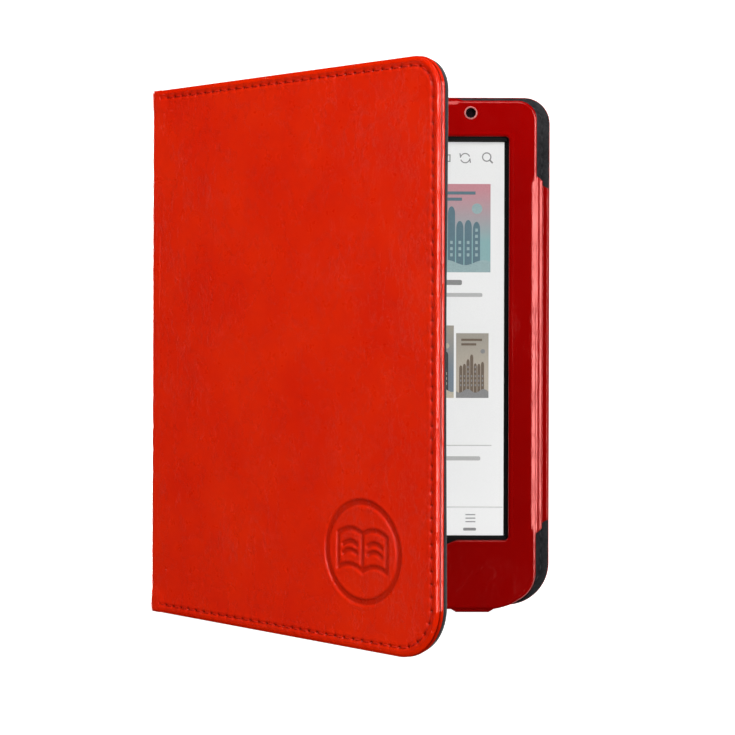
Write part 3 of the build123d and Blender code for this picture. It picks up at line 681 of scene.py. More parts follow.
def boundary_loop(u, v, outline):
    """A point grid's free boundary: its points, each doubled in number, and the way out at each."""
    rows, columns = u.shape
    order = [(0, c) for c in range(columns)]
    order += [(r, columns - 1) for r in range(1, rows - 1)]
    order += [(rows - 1, c) for c in range(columns - 1, -1, -1)]
    loop = np.array([(u[r, c], v[r, c]) for r, c in order])
    out = np.zeros(loop.shape)
    out[:, 0] = 1.0
    out[loop[:, 1] < outline.low_turn[1]] = (0.0, -1.0)
    out[loop[:, 1] > outline.top_turn[1]] = (0.0, 1.0)
    for turn, sign in ((outline.low_turn, -1), (outline.top_turn, 1)):
        corner = (loop[:, 0] >= turn[0]) & ((loop[:, 1] - turn[1]) * sign >= 0)
        out[corner] = unit(loop[corner] - turn)
    full = np.zeros((2 * len(loop) - 1, 2))
    full_out = np.zeros(full.shape)
    full[::2], full[1::2] = loop, (loop[:-1] + loop[1:]) / 2
    full_out[::2], full_out[1::2] = out, unit(out[:-1] + out[1:])
    return full, full_out


def panel_surface(name, panel, outline, relief, edge_profile, face_depth, material, fine):
    """A panel's face with its relief, and its sewn edge swept round the three free sides."""
    is_skin = edge_profile is SKIN_EDGE
    inner = outline.inset(FIELD_INSET)
    (u_from, u_to), (v_from, v_to), fine_step = fine
    heights = inner.heights(FIELD_STEP, v_from, v_to, fine_step)
    columns = steps_between(inner.start, inner.end, fine_step, FIELD_STEP, u_from, u_to)
    share = (columns - inner.start) / (inner.end - inner.start)
    u = inner.start + share[None, :] * (inner.reach(heights)[:, None] - inner.start)
    v = np.repeat(heights[:, None], len(columns), axis=1)
    depth, direction = face_depth
    rise, field_tone = relief(u, v, outline)
    points = [panel.place(u, v, depth - direction * rise).reshape(-1, 3)]
    tones, polish = [field_tone.ravel()], [np.zeros(u.size)]
    loop, out = boundary_loop(u, v, inner)
    for inset in (FIELD_INSET,) + BAND_INSETS:
        ring = loop + out * (FIELD_INSET - inset)
        rise, tone = relief(ring[:, 0], ring[:, 1], outline)
        if inset == FIELD_INSET:
            rise[1::2] = (rise[:-1:2] + rise[2::2]) / 2
        points.append(panel.place(ring[:, 0], ring[:, 1], depth - direction * rise))
        tones.append(tone)
        polish.append(np.full(len(ring), smoothstep((1.5 - inset) / 0.5)))
    for step_number, (inset, below) in enumerate(edge_profile):
        ring = loop + out * (FIELD_INSET - inset)
        carried = 0.0 if is_skin else rise * (1 - (step_number + 1) / len(edge_profile)) ** 2
        points.append(panel.place(ring[:, 0], ring[:, 1], depth + direction * (below - carried)))
        # painted shade in the groove on the turned edge
        groove_shade = min(1.0, 1.6 * bell(below - 0.92, 0.32)) if is_skin else 0.0
        tones.append(np.full(len(loop), groove_shade))
        polish.append(np.ones(len(loop)))
    band_faces = grid_faces(len(points) - 1, len(loop), first=u.size)
    points = np.concatenate(points)
    outward = -direction * panel.inward
    faces = turned_to(grid_faces(*u.shape), points, outward) + turned_to(band_faces, points, outward)
    piece = new_piece(name, points, faces, [material])
    # painted shade for the needle holes, grooves and the emblem's sunk lines
    paint(piece, "shaded_recess", np.concatenate(tones))
    paint(piece, "polish", np.concatenate(polish))
    with edited(piece) as shape:
        bmesh.ops.remove_doubles(shape, verts=shape.verts, dist=1e-7)
    return piece


BEAD_RISE, BEAD_FROM, BEAD_FADE = 0.1, 2.1, 0.9
RIM_SLOPE, RIM_FROM, RIM_WIDTH = 0.42, 0.92, 0.8
# Painted shade in the groove beside the rolled rim: how dark, where and how wide
GROOVE_SHADE, GROOVE_PLACE, GROOVE_WIDTH = 0.3, 1.55, 0.25


def edge_roll(distance):
    """The skin's rolled rim: a soft bead, then a slope down to the turned edge."""
    bead = BEAD_RISE * smoothstep((BEAD_FROM - distance) / BEAD_FADE)
    return bead - RIM_SLOPE * np.clip(RIM_FROM - distance, 0, RIM_WIDTH)


def back_relief(u, v, outline, seed=8.6):
    """Outer face of a panel."""
    rise, tone, distance = stitch_relief(u, v, outline, STITCH_INSET)
    rise = rise + edge_roll(distance) + waviness(u, v, seed, 0.07)
    # painted shade along the groove
    groove = GROOVE_SHADE * bell(distance - GROOVE_PLACE, GROOVE_WIDTH)
    return rise + bell(u - CREASE_REACH, CREASE_LINE_WIDTH) * hem_flare(v), np.maximum(tone, groove)


def cover_relief(u, v, outline):
    """Outer face of the front cover, with the emblem pressed into it."""
    rise, tone = back_relief(u, v, outline, 3.1)
    emblem, emblem_tone = emblem_relief(u, v)
    return rise + emblem, np.maximum(tone, emblem_tone)


def lining_relief(u, v, outline):
    """Inner face of a panel's lining, with the sewn line showing through."""
    rise, tone, distance = stitch_relief(u, v, outline, STITCH_INSET - LINING_INSET, LINING_INSET)
    rim = -0.14 * (1 - smoothstep(distance)) ** 2
    # the sewn line's painted shade, half as strong on the lining
    return 0.45 * rise + rim + waviness(u, v, 5.7, 0.03), 0.5 * tone


SWELL_MIDDLE, SWELL_CORNER = 0.35, 0.6
SWELL_FROM, SWELL_FADE = 0.5, 1.7


def cover_lining_relief(u, v, outline):
    """The cover's lining swells along the free edge, most at the corners."""
    rise, tone = lining_relief(u, v, outline)
    distance, _ = outline.edge(u, v, STITCH_INSET)
    near_edge = smoothstep((u - outline.end + 16) / 12)
    towards_corner = smoothstep(np.abs(v - panel_height / 2) / (panel_height / 2))
    swell = (SWELL_MIDDLE + SWELL_CORNER * towards_corner) * near_edge
    return rise + swell * (1 - smoothstep((distance - SWELL_FROM) / SWELL_FADE)), tone


def sew(name, panel, outline, depth, direction, material, body):
    """Thread segments between the needle holes, each a short bowed capsule."""
    length = sum(outline.lengths(STITCH_INSET))
    count = round(length / STITCH_PITCH)
    pitch = length / count
    sections, sides = 7, 6
    points, faces = [], []
    for k in range(count - 1):
        start = (k + 0.18) * pitch
        span = 0.64 * pitch
        first = len(points)
        lean = random.uniform(-0.09, 0.09)
        for s in range(sections):
            t = s / (sections - 1)
            (u, v), (out_u, out_v) = outline.path_point(start + span * t, STITCH_INSET)
            side_shift = lean * (2 * t - 1)
            u, v = u + out_u * side_shift, v + out_v * side_shift
            bow = BOW_RISE * math.sin(math.pi * t) - BOW_SINK
            radius = THREAD_RADIUS * math.sqrt(max(1 - (2 * t - 1) ** 4, 0.06))
            for a in range(sides):
                angle = 2 * math.pi * a / sides
                across = radius * math.cos(angle)
                lift = bow + radius * math.sin(angle)
                points.append(panel.place(u + out_u * across, v + out_v * across, depth - direction * lift))
        faces += capped_tube(sections, sides, first)
    piece = fix_normals(new_piece(name, np.array(points), faces, [material]))
    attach(piece, body)
    return piece


cover_outline = Outline(CREASE_REACH, panel_width, 0.0, panel_height, COVER_RADII)
back_outline = Outline(CREASE_REACH, panel_width, 0.0, panel_height, BACK_RADII)
outer_side = (outer_depth, 1)
inner_side = (inner_depth, -1)


def make_panel(label, panel, outline, relief, inner_relief, fine, lining_fine):
    """Leather skin and lining of one panel. A fine zone is its limits and its step."""
    return (panel_surface(f"{label}_leather_skin", panel, outline, relief, SKIN_EDGE,
                          outer_side, cover_leather, fine),
            panel_surface(f"{label}_microfibre_lining", panel, outline.inset(LINING_INSET), inner_relief,
                          LINING_EDGE, inner_side, lining_cloth, lining_fine))


def zone_round(centre, reach, step):
    """A square zone of finer points."""
    return (centre[0] - reach, centre[0] + reach), (centre[1] - reach, centre[1] + reach), step


emblem_zone = zone_round(EMBLEM_CENTRE, EMBLEM_RADIUS + 1.2, 0.28)
no_zone = ((1, 0), (1, 0), FIELD_STEP)
button_place = (BUTTON_PLACE[0] - back_fold[0], BUTTON_PLACE[1])
button_zone = zone_round(button_place, BUTTON_HOLE_RADIUS + 1.5, 0.35)
cover_skin, cover_lining = make_panel("cover", cover_panel, cover_outline, cover_relief,
                                      cover_lining_relief, emblem_zone, no_zone)
back_skin, back_lining = make_panel("back", back_panel, back_outline, back_relief,
                                    lining_relief, button_zone, button_zone)
button_centre = back_panel.place(*button_place, 0.0)
for piece in (back_skin, back_lining):
    cut_round_hole(piece, button_centre, back_panel.inward,
                   BUTTON_HOLE_RADIUS, BUTTON_HOLE_RADIUS, BUTTON_HOLE_RADIUS + 1.0)

for piece, body, node, slot in (
    (cover_skin, "flap", "front_skin", "folio_leather"),
    (cover_lining, "flap", "front_lining", "lining_fabric"),
    (back_skin, "case_back", "back_skin", "folio_leather"),
    (back_lining, "case_back", "back_lining", "lining_fabric"),
):
    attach(piece, body)
    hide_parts(node)

for label, panel, outline, body in (
    ("cover", cover_panel, cover_outline, "flap"),
    ("back", back_panel, back_outline, "case_back"),
):
    sew(f"{label}_outer_stitches", panel, outline, *outer_side, thread, body)
    sew(f"{label}_inner_stitches", panel, outline, *inner_side, dark_thread, body)


def spine_surface():
    """The spine's leather between its two creases, and its lining."""
    rows, columns = 260, 14
    u, v = np.meshgrid(np.linspace(CREASE_REACH, spine_width - CREASE_REACH, columns),
                       np.linspace(0, panel_height, rows))
    roll = 0.3 * (1 - smoothstep(from_ends(v) / 1.1)) ** 2
    outer = spine_panel.place(u, v, outer_depth - hem_flare(v) - waviness(u, v, 2.2, 0.05) + roll)
    inner = spine_panel.place(u, v, inner_depth - 0.3 - roll)
    for label, points, direction, material, node, slot in (
        ("spine_leather_skin", outer, 1, cover_leather, "spine_skin", "folio_leather"),
        ("spine_microfibre_lining", inner, -1, lining_cloth, "spine_lining", "lining_fabric"),
    ):
        points = points.reshape(-1, 3)
        faces = turned_to(grid_faces(*u.shape), points, -direction * spine_panel.inward)
        piece = new_piece(label, points, faces, [material])
        paint(piece, "shaded_recess", np.zeros(len(points)))
        thicken(piece, 0.7)
        apply_modifiers(piece)
        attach(piece, "spine")
        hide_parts(node)


spine_surface()


# The lining's side of a crease, as distances from the fold and depths
GUTTER = ((4.9, 1.6), (3.1, 1.79), (2.6, 1.76), (2.4, 1.35), (1.4, 0.6), (0.75, 0.45))


def crease_strip(name, first, second):
    """Soft leather and lining bending at a crease; first and second give points on its two sides."""
    end_zone, end_rows, middle_rows = 7, 16, 180
    heights = np.concatenate([np.linspace(0, end_zone, end_rows),
                              np.linspace(end_zone, panel_height - end_zone, middle_rows)[1:-1],
                              np.linspace(panel_height - end_zone, panel_height, end_rows)])
    apex_gap = 0.95
    tangent = 2.4
    overlap, overlap_sink = 0.3, 0.03
    roll_depth, wave_depth, wave_height = 0.36, 0.05, 9.0
    loops = []
    for v in heights:
        roll = roll_depth * float((1 - smoothstep(from_ends(v))) ** 2)
        face = outer_depth - float(hem_flare(v)) + roll
        wave = wave_depth * smooth_noise.noise((v / wave_height, 4.2, 0.3))
        outer = [first(CREASE_REACH + overlap, v, face + overlap_sink)]
        outer += [first(d, v, face) for d in (CREASE_REACH, 3.4, 2.9, tangent)]
        start, end = first(tangent, v, face), second(tangent, v, face)
        apex = (first(-apex_gap, v, face - wave) + second(-apex_gap, v, face - wave)) / 2
        for t in np.linspace(0, 1, 9)[1:-1]:
            outer.append((1 - t) ** 2 * start + 2 * t * (1 - t) * apex + t**2 * end)
        outer += [second(d, v, face) for d in (tangent, 2.9, 3.4, CREASE_REACH)]
        outer.append(second(CREASE_REACH + overlap, v, face + overlap_sink))
        inner = [second(d, v, depth - roll) for d, depth in GUTTER]
        inner += [first(d, v, depth - roll) for d, depth in reversed(GUTTER)]
        loops.append(outer + inner)
    rows, count = len(loops), len(loops[0])
    faces = capped_tube(rows, count)
    finish_of_face = [int(k >= len(outer)) for _ in range(rows - 1) for k in range(count)] + [0, 0]
    piece = new_piece(name, loops, faces, [cover_leather, lining_cloth], finish_of_face)
    paint(piece, "shaded_recess", np.zeros(rows * count))
    fix_normals(piece)
    bend_reach, middle = CREASE_REACH - 0.4, panel_height / 2
    start_point = Vector(first(bend_reach, middle, 0.0).tolist())
    end_point = Vector(second(bend_reach, middle, 0.0).tolist())
    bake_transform(piece)


def from_far_crease(distance, v, depth):
    """A place on the spine, by its distance from the front cover's crease."""
    return spine_panel.place(spine_width - distance, v, depth)


crease_strip("back_crease", back_panel.place, spine_panel.place)
crease_strip("cover_crease", from_far_crease, cover_panel.place)


# ---- leather holder
HOLDER_FACE = 11.2              # distance of the holder's front from the frame's origin plane
HOLDER_HALF_WIDTH = 55.3
HOLDER_LOW, HOLDER_HIGH = 2.1, 159.3
HOLDER_LOW_RADIUS, HOLDER_HIGH_RADIUS = 9.5, 6.0
WINDOW_HALF_WIDTH = 46.6
WINDOW_LOW, WINDOW_HIGH = 21.8, 148.0
WINDOW_RADIUS = 1.2
NOTCH_HALF_WIDTH, NOTCH_SLOPE, NOTCH_DEPTH = 31.0, 4.0, 1.2
SENSOR_PLACE, SENSOR_HOLE_RADIUS = (34.6, 155.35), 1.6
WRAP_LOW, WRAP_HIGH = 25.0, 134.6
WRAP_LEAD, WRAP_FADE = 1.6, 3.0
TOP_TAB_REACH, TOP_TAB_FADE, TOP_TAB_RISE = 32.6, 2.6, 0.75
SAG_DEPTH, SAG_REACH, SAG_FADE = 1.9, 51.0, 10.0
EDGE_STEEPNESS = 0.9            # how much more its upper and lower edges fall than its sides


def rounded_rectangle_loop(half_width, low, high, low_radius, high_radius):
    """A rounded rectangle, counter-clockwise from the middle of its bottom right corner."""
    quarter, turn, wide, tall = math.pi / 4, 9, 150, 200
    low_x, high_x = half_width - low_radius, half_width - high_radius
    corners = [((low_x, low + low_radius), low_radius), ((high_x, high - high_radius), high_radius),
               ((-high_x, high - high_radius), high_radius), ((-low_x, low + low_radius), low_radius)]
    loop = []
    for side, count in enumerate((tall, wide, tall, wide)):
        start, end = corners[side], corners[(side + 1) % 4]
        middle = 2 * side * quarter
        leaving = [on_circle(*start, a)[0] for a in np.linspace(middle - quarter, middle, turn)]
        arriving = [on_circle(*end, a)[0] for a in np.linspace(middle, middle + quarter, turn)]
        loop += leaving[:-1] + list(np.linspace(leaving[-1], arriving[0], count)) + arriving[1:-1]
    return np.array(loop)


def notch_drop(x):
    """How far the window's lower edge dips for the thumb notch."""
    return NOTCH_DEPTH * smoothstep((NOTCH_HALF_WIDTH - np.abs(x)) / NOTCH_SLOPE)


def tab_share(x):
    """How far a place along the holder's upper edge is into the wide tab there."""
    return smoothstep((TOP_TAB_REACH - np.abs(x)) / TOP_TAB_FADE)


def wrap_share(z):
    """How far a height is within the two side wraps' span."""
    above_foot = smoothstep((z - WRAP_LOW + WRAP_LEAD) / WRAP_FADE)
    return above_foot * smoothstep((WRAP_HIGH + WRAP_LEAD - z) / WRAP_FADE)


def sag(x):
    """How far the holder's lower edge hangs below its corners."""
    return SAG_DEPTH * smoothstep((SAG_REACH - np.abs(x)) / SAG_FADE)


def loop_outward(loop):
    """Unit vectors out of a closed counter-clockwise loop of points."""
    tangent = unit(np.roll(loop, -1, axis=0) - np.roll(loop, 1, axis=0))
    return np.stack([tangent[:, 1], -tangent[:, 0]], axis=1)


# The holder's bent faces: how steeply each falls, where it begins and how wide it is
BESIDE_WRAP_SLOPE, BESIDE_WRAP_FROM, BESIDE_WRAP_WIDTH = 0.235, 53.6, 2.2
TOP_BEND_SLOPE, TOP_BEND_FROM, TOP_BEND_WIDTH = 0.42, 157.9, 2.4
FACE_WAVE, FACE_WAVE_RISE = 38, 0.04
DIMPLE_DEPTH, DIMPLE_WIDTH = 0.1, 0.7


def holder_relief(x, z):
    """Slight swelling of the holder's face: soft waves, and a dimple round the sensor's hole."""
    wave = np.array([smooth_noise.noise((a / FACE_WAVE + 4.4, b / FACE_WAVE, 1.7)) for a, b in zip(x, z)])
    from_sensor = np.hypot(x - SENSOR_PLACE[0], z - SENSOR_PLACE[1])
    slope = BESIDE_WRAP_SLOPE * np.clip(np.abs(x) - BESIDE_WRAP_FROM, 0, BESIDE_WRAP_WIDTH) * wrap_share(z)
    roll = TOP_BEND_SLOPE * np.clip(z - TOP_BEND_FROM, 0, TOP_BEND_WIDTH) * tab_share(x)
    dimple = DIMPLE_DEPTH * bell(from_sensor - SENSOR_HOLE_RADIUS, DIMPLE_WIDTH)
    return FACE_WAVE_RISE * wave - dimple - slope - roll


# The holder's rolled edges, as distances in from the outline and depths below the face
HOLDER_EDGE = [
    (2.3, 0.0), (1.9, 0.0), (1.5, 0.0), (1.2, -0.01), (0.95, -0.015), (0.78, 0.0), (0.66, 0.025),
    (0.5, 0.065), (0.34, 0.105), (0.18, 0.148), (0.08, 0.22), (0.02, 0.34), (0.0, 0.5), (0.03, 0.72),
    (0.3, 0.9),
]
WINDOW_EDGE = [
    (0.0, 1.1), (0.0, 0.75), (0.02, 0.5), (0.08, 0.3), (0.2, 0.13), (0.38, 0.04), (0.6, 0.0),
    (0.95, -0.07), (1.3, 0.0),
]


def build_holder_frame():
    """The holder's front: a glossy leather frame with rolled outer and window edges."""
    outer = rounded_rectangle_loop(HOLDER_HALF_WIDTH, HOLDER_LOW, HOLDER_HIGH,
                                   HOLDER_LOW_RADIUS, HOLDER_HIGH_RADIUS)
    window = rounded_rectangle_loop(WINDOW_HALF_WIDTH, WINDOW_LOW, WINDOW_HIGH,
                                    WINDOW_RADIUS, WINDOW_RADIUS)
    lower = window[:, 1] < WINDOW_LOW + WINDOW_RADIUS + 0.01
    window[:, 1] -= np.where(lower, notch_drop(window[:, 0]), 0)
    outer[:, 1] -= np.where(outer[:, 1] < HOLDER_LOW + HOLDER_LOW_RADIUS, sag(outer[:, 0]), 0)
    outer[:, 1] += np.where(outer[:, 1] > HOLDER_HIGH - 0.01, TOP_TAB_RISE * tab_share(outer[:, 0]), 0)
    outer_out, window_out = loop_outward(outer), loop_outward(window)
    rings = [(window + window_out * inset, depth) for inset, depth in WINDOW_EDGE]
    inside = window + window_out * WINDOW_EDGE[-1][0]
    outside = outer - outer_out * HOLDER_EDGE[0][0]
    rings += [(inside * (1 - share) + outside * share, 0.0) for share in np.linspace(0, 1, 13)[1:-1]]
    steeper = 1 + EDGE_STEEPNESS * np.abs(outer_out[:, 1])
    for inset, depth in HOLDER_EDGE:
        ring = outer - outer_out * inset
        beside_wrap = wrap_share(ring[:, 1]) * (np.abs(outer_out[:, 0]) > 0.9)
        rings.append((ring, depth * steeper * (1 - beside_wrap * (inset > 0.05))))
    points = []
    for ring, depth in rings:
        face = HOLDER_FACE + holder_relief(ring[:, 0], ring[:, 1]) - depth
        points.append(np.stack([ring[:, 0], -face, ring[:, 1]], axis=1) * MM)
    piece = new_piece("holder_leather_frame", np.concatenate(points),
                      grid_faces(len(rings), len(outer), closed=True), [holder_leather])
    sensor_centre = np.array([SENSOR_PLACE[0], 0.0, SENSOR_PLACE[1]]) * MM
    rim_radius = SENSOR_HOLE_RADIUS + 0.3
    cut_round_hole(piece, sensor_centre, np.array([0.0, 1.0, 0.0]), 1.5, rim_radius, 2 * rim_radius)
    paint(piece, "shaded_recess", np.zeros(len(piece.data.vertices)))
    face_front(piece, len(piece.data.polygons) // 2)
    return piece


holder_frame_piece = build_holder_frame()


def corner_highlight_line(name, side):
    """A painted highlight: a paler line round one of the holder's lower corners, along its rolled edge."""
    centre_x, centre_z = HOLDER_HALF_WIDTH - HOLDER_LOW_RADIUS, HOLDER_LOW + HOLDER_LOW_RADIUS
    insets, depths = zip(*HOLDER_EDGE[12:5:-1])
    middle_inset, half_width, steps = 0.24, 0.17, 64
    points = []
    for across, lift in ((1.0, -0.06), (0.7, 0.03), (-0.4, 0.03), (-1.0, -0.06)):
        for angle in np.radians(np.linspace(-84, 4, steps)):
            taper = smoothstep((angle + 1.46) / 0.3) * smoothstep((0.07 - angle) / 0.25)
            inset = middle_inset + half_width * across * taper
            (x, z), (out_x, out_z) = on_circle((centre_x, centre_z), HOLDER_LOW_RADIUS - inset, angle)
            z -= sag(centre_x + HOLDER_LOW_RADIUS * out_x)
            depth = np.interp(inset, insets, depths) * (1 + EDGE_STEEPNESS * abs(out_z)) - lift * taper
            points.append(front_point(side * x, HOLDER_FACE - depth, z))
    return fix_normals(new_piece(name, points, grid_faces(4, steps), [painted_edge_highlight]))


corner_highlight_lines = [corner_highlight_line("holder_corner_highlight_right", 1), corner_highlight_line("holder_corner_highlight_left", -1)]


def revolve(name, profile, centre, material, sides=72):
    """A ring turned round an axis pointing forwards, from radii and distances forward."""
    points = []
    for radius, forward in profile:
        for k in range(sides):
            (x, z), _ = on_circle(centre, radius, 2 * math.pi * k / sides)
            points.append(front_point(x, forward, z))
    return fix_normals(new_piece(name, points, grid_faces(len(profile), sides, closed=True), [material]))


# The ring's pale colour is a painted highlight all round the hole's edge
sensor_rim = revolve(
    "sensor_hole_rim",
    [(1.56, 10.3), (1.54, 10.9), (1.57, 11.15), (1.66, 11.3), (1.8, 11.36), (1.93, 11.32), (2.03, 11.2),
     (2.08, 11.05), (2.1, 10.9)],
    SENSOR_PLACE, painted_edge_highlight,
)


def sweep_wall(name, profile, heights, slant, material):
    """A strip of leather with a cross-section in the floor plane, cut at a slant at both ends."""
    profile = np.array(profile, float)
    across = np.abs(profile[:, 0])
    trim = slant * smoothstep((across - across.min()) / (across.max() - across.min())) ** 0.8
    low, high = heights
    wave_width, wave_height = 0.035, 21.0
    rows = np.concatenate([np.linspace(0, 0.03, 8), np.linspace(0.03, 0.97, 150)[1:-1],
                           np.linspace(0.97, 1, 8)])
    points = []
    for t in rows:
        for index, (x, y) in enumerate(profile):
            z = low + trim[index] + t * (high - low - 2 * trim[index])
            wave = wave_width * smooth_noise.noise((z / wave_height, 3.3, 7.7))
            points.append(front_point(x + wave, -y, z))
    piece = new_piece(name, points, grid_faces(len(rows), len(profile)), [material])
    paint(piece, "shaded_recess", np.zeros(len(points)))
    return piece


# Cross-sections of the side wraps, as distances across and backwards
RIGHT_WRAP_PROFILE = [
    (54.8, -10.8), (55.0, -10.868), (55.1, -10.862), (55.2, -10.84), (55.35, -10.805), (55.5, -10.77),
    (55.65, -10.735), (55.82, -10.69), (56.0, -10.62), (56.14, -10.56), (56.22, -10.54),
    (56.3, -10.545), (56.38, -10.53), (56.48, -10.505), (56.63, -10.47), (56.79, -10.432),
    (56.95, -10.395), (57.1, -10.36), (57.17, -10.28), (57.24, -10.12), (57.29, -9.86), (57.32, -9.4),
    (57.38, -8.5), (57.48, -7.2), (57.58, -6.0), (57.68, -5.0), (57.76, -4.1), (57.84, -3.3),
    (57.9, -2.8), (57.96, -2.6), (58.1, -2.54), (58.4, -2.53), (58.8, -2.53), (59.2, -2.53),
    (59.5, -2.51), (59.75, -2.44), (59.92, -2.3), (60.03, -2.1), (60.08, -1.85), (60.08, -1.55),
]
LEFT_WRAP_PROFILE = [
    (-54.4, -10.0), (-54.9, -10.05), (-55.3, -10.1), (-55.6, -10.1), (-55.85, -9.95), (-56.0, -9.7),
    (-56.08, -9.3), (-56.1, -8.6), (-56.1, -6.0), (-56.1, -3.0), (-56.1, -1.9), (-56.0, -1.65),
    (-55.6, -1.6),
]
WRAP_ENDS = (23.8, 135.9)
right_wrap = sweep_wall("holder_right_leather_wrap", RIGHT_WRAP_PROFILE, WRAP_ENDS, 3.4, holder_leather)
left_wrap = sweep_wall("holder_left_leather_wrap", LEFT_WRAP_PROFILE, WRAP_ENDS, 2.0, holder_leather)
for wrap in (right_wrap, left_wrap):
    face_front(wrap)
    thicken(wrap, 0.55)
    soften = wrap.modifiers.new("edges", "BEVEL")
    soften.width = 0.16 * MM
    soften.segments = 3
    soften.angle_limit = math.radians(50)
    apply_modifiers(wrap)
    wrap.data.polygons.foreach_set("use_smooth", [True] * len(wrap.data.polygons))


def holder_tab(name, middle, root_half, tip_half, root_z, tip_z, section):
    """A tab of leather that rolls over the reader's edge and runs back to the lining."""
    lift = abs(tip_z - root_z)
    sign = 1 if tip_z > root_z else -1
    across = np.linspace(-1, 1, 61)
    end_fade, end_rise, end_sink = 0.07, 0.25, 0.12
    points = []
    for z, forward in section:
        share = np.clip((z - root_z) * sign / lift, 0, 1)
        half = root_half + (tip_half - root_half) * share
        for a in across:
            from_end = smoothstep((1 - abs(a)) / end_fade)
            rise = (z - root_z) * (end_rise + (1 - end_rise) * from_end) if share > 0 else z - root_z
            points.append(front_point(middle + a * half, forward - end_sink * (1 - from_end), root_z + rise))
    piece = new_piece(name, points, grid_faces(len(section), len(across)), [holder_leather])
    paint(piece, "shaded_recess", np.zeros(len(points)))
    face_front(piece)
    piece.modifiers.new("smooth", "SUBSURF").levels = 1
    thicken(piece, 0.5)
    apply_modifiers(piece)
    return piece


# Tabs' sections from the holder's edge to the lining, as heights and distances forward
TOP_TAB_SECTION = [
    (158.9, 9.9), (159.5, 9.86), (159.9, 9.7), (160.08, 9.4), (160.1, 9.0), (160.1, 6.5), (160.1, 4.0),
    (160.1, 1.62),
]
BOTTOM_TAB_SECTION = [
    (1.6, 9.7), (0.6, 10.25), (0.1, 10.45), (-0.4, 10.4), (-0.75, 10.2), (-0.88, 9.8), (-0.8, 9.0),
    (-0.4, 6.5), (-0.1, 4.0), (0.02, 1.62),
]
BOTTOM_TAB_SHAPE = (7.2, 5.4, 0.25, -0.88, BOTTOM_TAB_SECTION)
top_tab = holder_tab("holder_top_leather_tab", 0.0, 31.6, 31.0, 159.25, 160.1, TOP_TAB_SECTION)
bottom_left_tab = holder_tab("holder_bottom_left_tab", -35.5, *BOTTOM_TAB_SHAPE)
bottom_right_tab = holder_tab("holder_bottom_right_tab", 35.5, *BOTTOM_TAB_SHAPE)

for piece, nodes in (
    (holder_frame_piece, ("holder_frame",)),
    (sensor_rim, ()),
    (corner_highlight_lines[0], ()),
    (corner_highlight_lines[1], ()),
    (right_wrap, ("holder_right_wrap",)),
    (left_wrap, ("holder_left_wrap",)),
    (top_tab, ("holder_top_tab",)),
    (bottom_left_tab, ("holder_bottom_tabs",)),
    (bottom_right_tab, ("holder_bottom_tabs",)),
):
    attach(piece, "case_back")
    if nodes:
        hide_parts(*nodes)

# ---- button hole's bound edge
button_binding = revolve(
    "button_hole_binding",
    [(7.05, -1.46), (6.9, -1.56), (6.66, -1.54), (6.5, -1.36), (6.46, -1.0), (6.5, 0.0), (6.46, 1.0),
     (6.5, 1.36), (6.66, 1.52), (6.9, 1.54), (7.05, 1.46)],
    BUTTON_PLACE, lining_cloth,
)
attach(button_binding, "case_back")

# ---- electronic-paper page
PAGE_FACE = 9.05                # how far forward the page lies
INK_GAP, INK_STEP = 0.02, 0.012
PAGE_LOW, PAGE_HIGH = 23.15, 146.4
PAGE_HALF_WIDTH = 45.25


def rectangle(x_low, z_low, x_high, z_high, radius=0.0):
    """Corner points of a rectangle, rounded if asked."""
    if radius == 0:
        return [(x_low, z_low), (x_high, z_low), (x_high, z_high), (x_low, z_high)]
    corners = ((x_high - radius, z_low + radius, -90), (x_high - radius, z_high - radius, 0),
               (x_low + radius, z_high - radius, 90), (x_low + radius, z_low + radius, 180))
    return [on_circle((x, z), radius, math.radians(start + 18 * k))[0]
            for x, z, start in corners for k in range(6)]


def disc(x, z, radius, count=36):
    """Points of a circle."""
    return [on_circle((x, z), radius, 2 * math.pi * k / count)[0] for k in range(count)]


def printed_shapes(name, shapes, layer, material):
    """Flat shapes of one tone on the page, as one piece; layer sets which tone lies on top."""
    forward = PAGE_FACE + INK_GAP + INK_STEP * layer
    points, faces = [], []
    for shape in shapes:
        first = len(points)
        points += [front_point(x, forward, z) for x, z in shape]
        faces.append(tuple(range(first, first + len(shape))))
    piece = new_piece(name, points, faces, [material], smooth=False)
    with edited(piece) as shape:
        for face in shape.faces:
            if face.normal.y > 0:
                face.normal_flip()
    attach(piece, "case_back")
    return piece


def ring_quads(x, z, radius, width, start=0, end=360, count=40):
    """A circular stroke as a row of quads."""
    quads = []
    inner, outer = radius - width / 2, radius + width / 2
    for k in range(count):
        a, b = (math.radians(start + (end - start) * n / count) for n in (k, k + 1))
        quads.append([on_circle((x, z), r, t)[0]
                      for r, t in ((inner, a), (outer, a), (outer, b), (inner, b))])
    return quads


def stroke(x1, z1, x2, z2, width):
    """A straight stroke as one quad."""
    length = math.hypot(x2 - x1, z2 - z1)
    nx, nz = -(z2 - z1) / length * width / 2, (x2 - x1) / length * width / 2
    return [(x1 + nx, z1 + nz), (x2 + nx, z2 + nz), (x2 - nx, z2 - nz), (x1 - nx, z1 - nz)]


page_white = paper_white("page_white")
mask_black = printed("mask_black", (0.006, 0.006, 0.0065), specular=0.1)
ink_dark = printed("ink_dark", (0.045, 0.045, 0.047))
ink_icon = printed("ink_icon", (0.26, 0.26, 0.26))
ink_grey = printed("ink_grey", (0.25, 0.25, 0.25))
ink_pale = printed("ink_pale", (0.46, 0.46, 0.455))
tint_teal = printed("tint_teal", (0.10, 0.30, 0.30))
tint_sand = printed("tint_sand", (0.50, 0.45, 0.36))
tint_umber = printed("tint_umber", (0.16, 0.12, 0.09))
tint_blue = printed("tint_blue", (0.14, 0.22, 0.36))
tint_slate = printed("tint_slate", (0.11, 0.19, 0.23))
tint_fog = printed("tint_fog", (0.30, 0.42, 0.43))

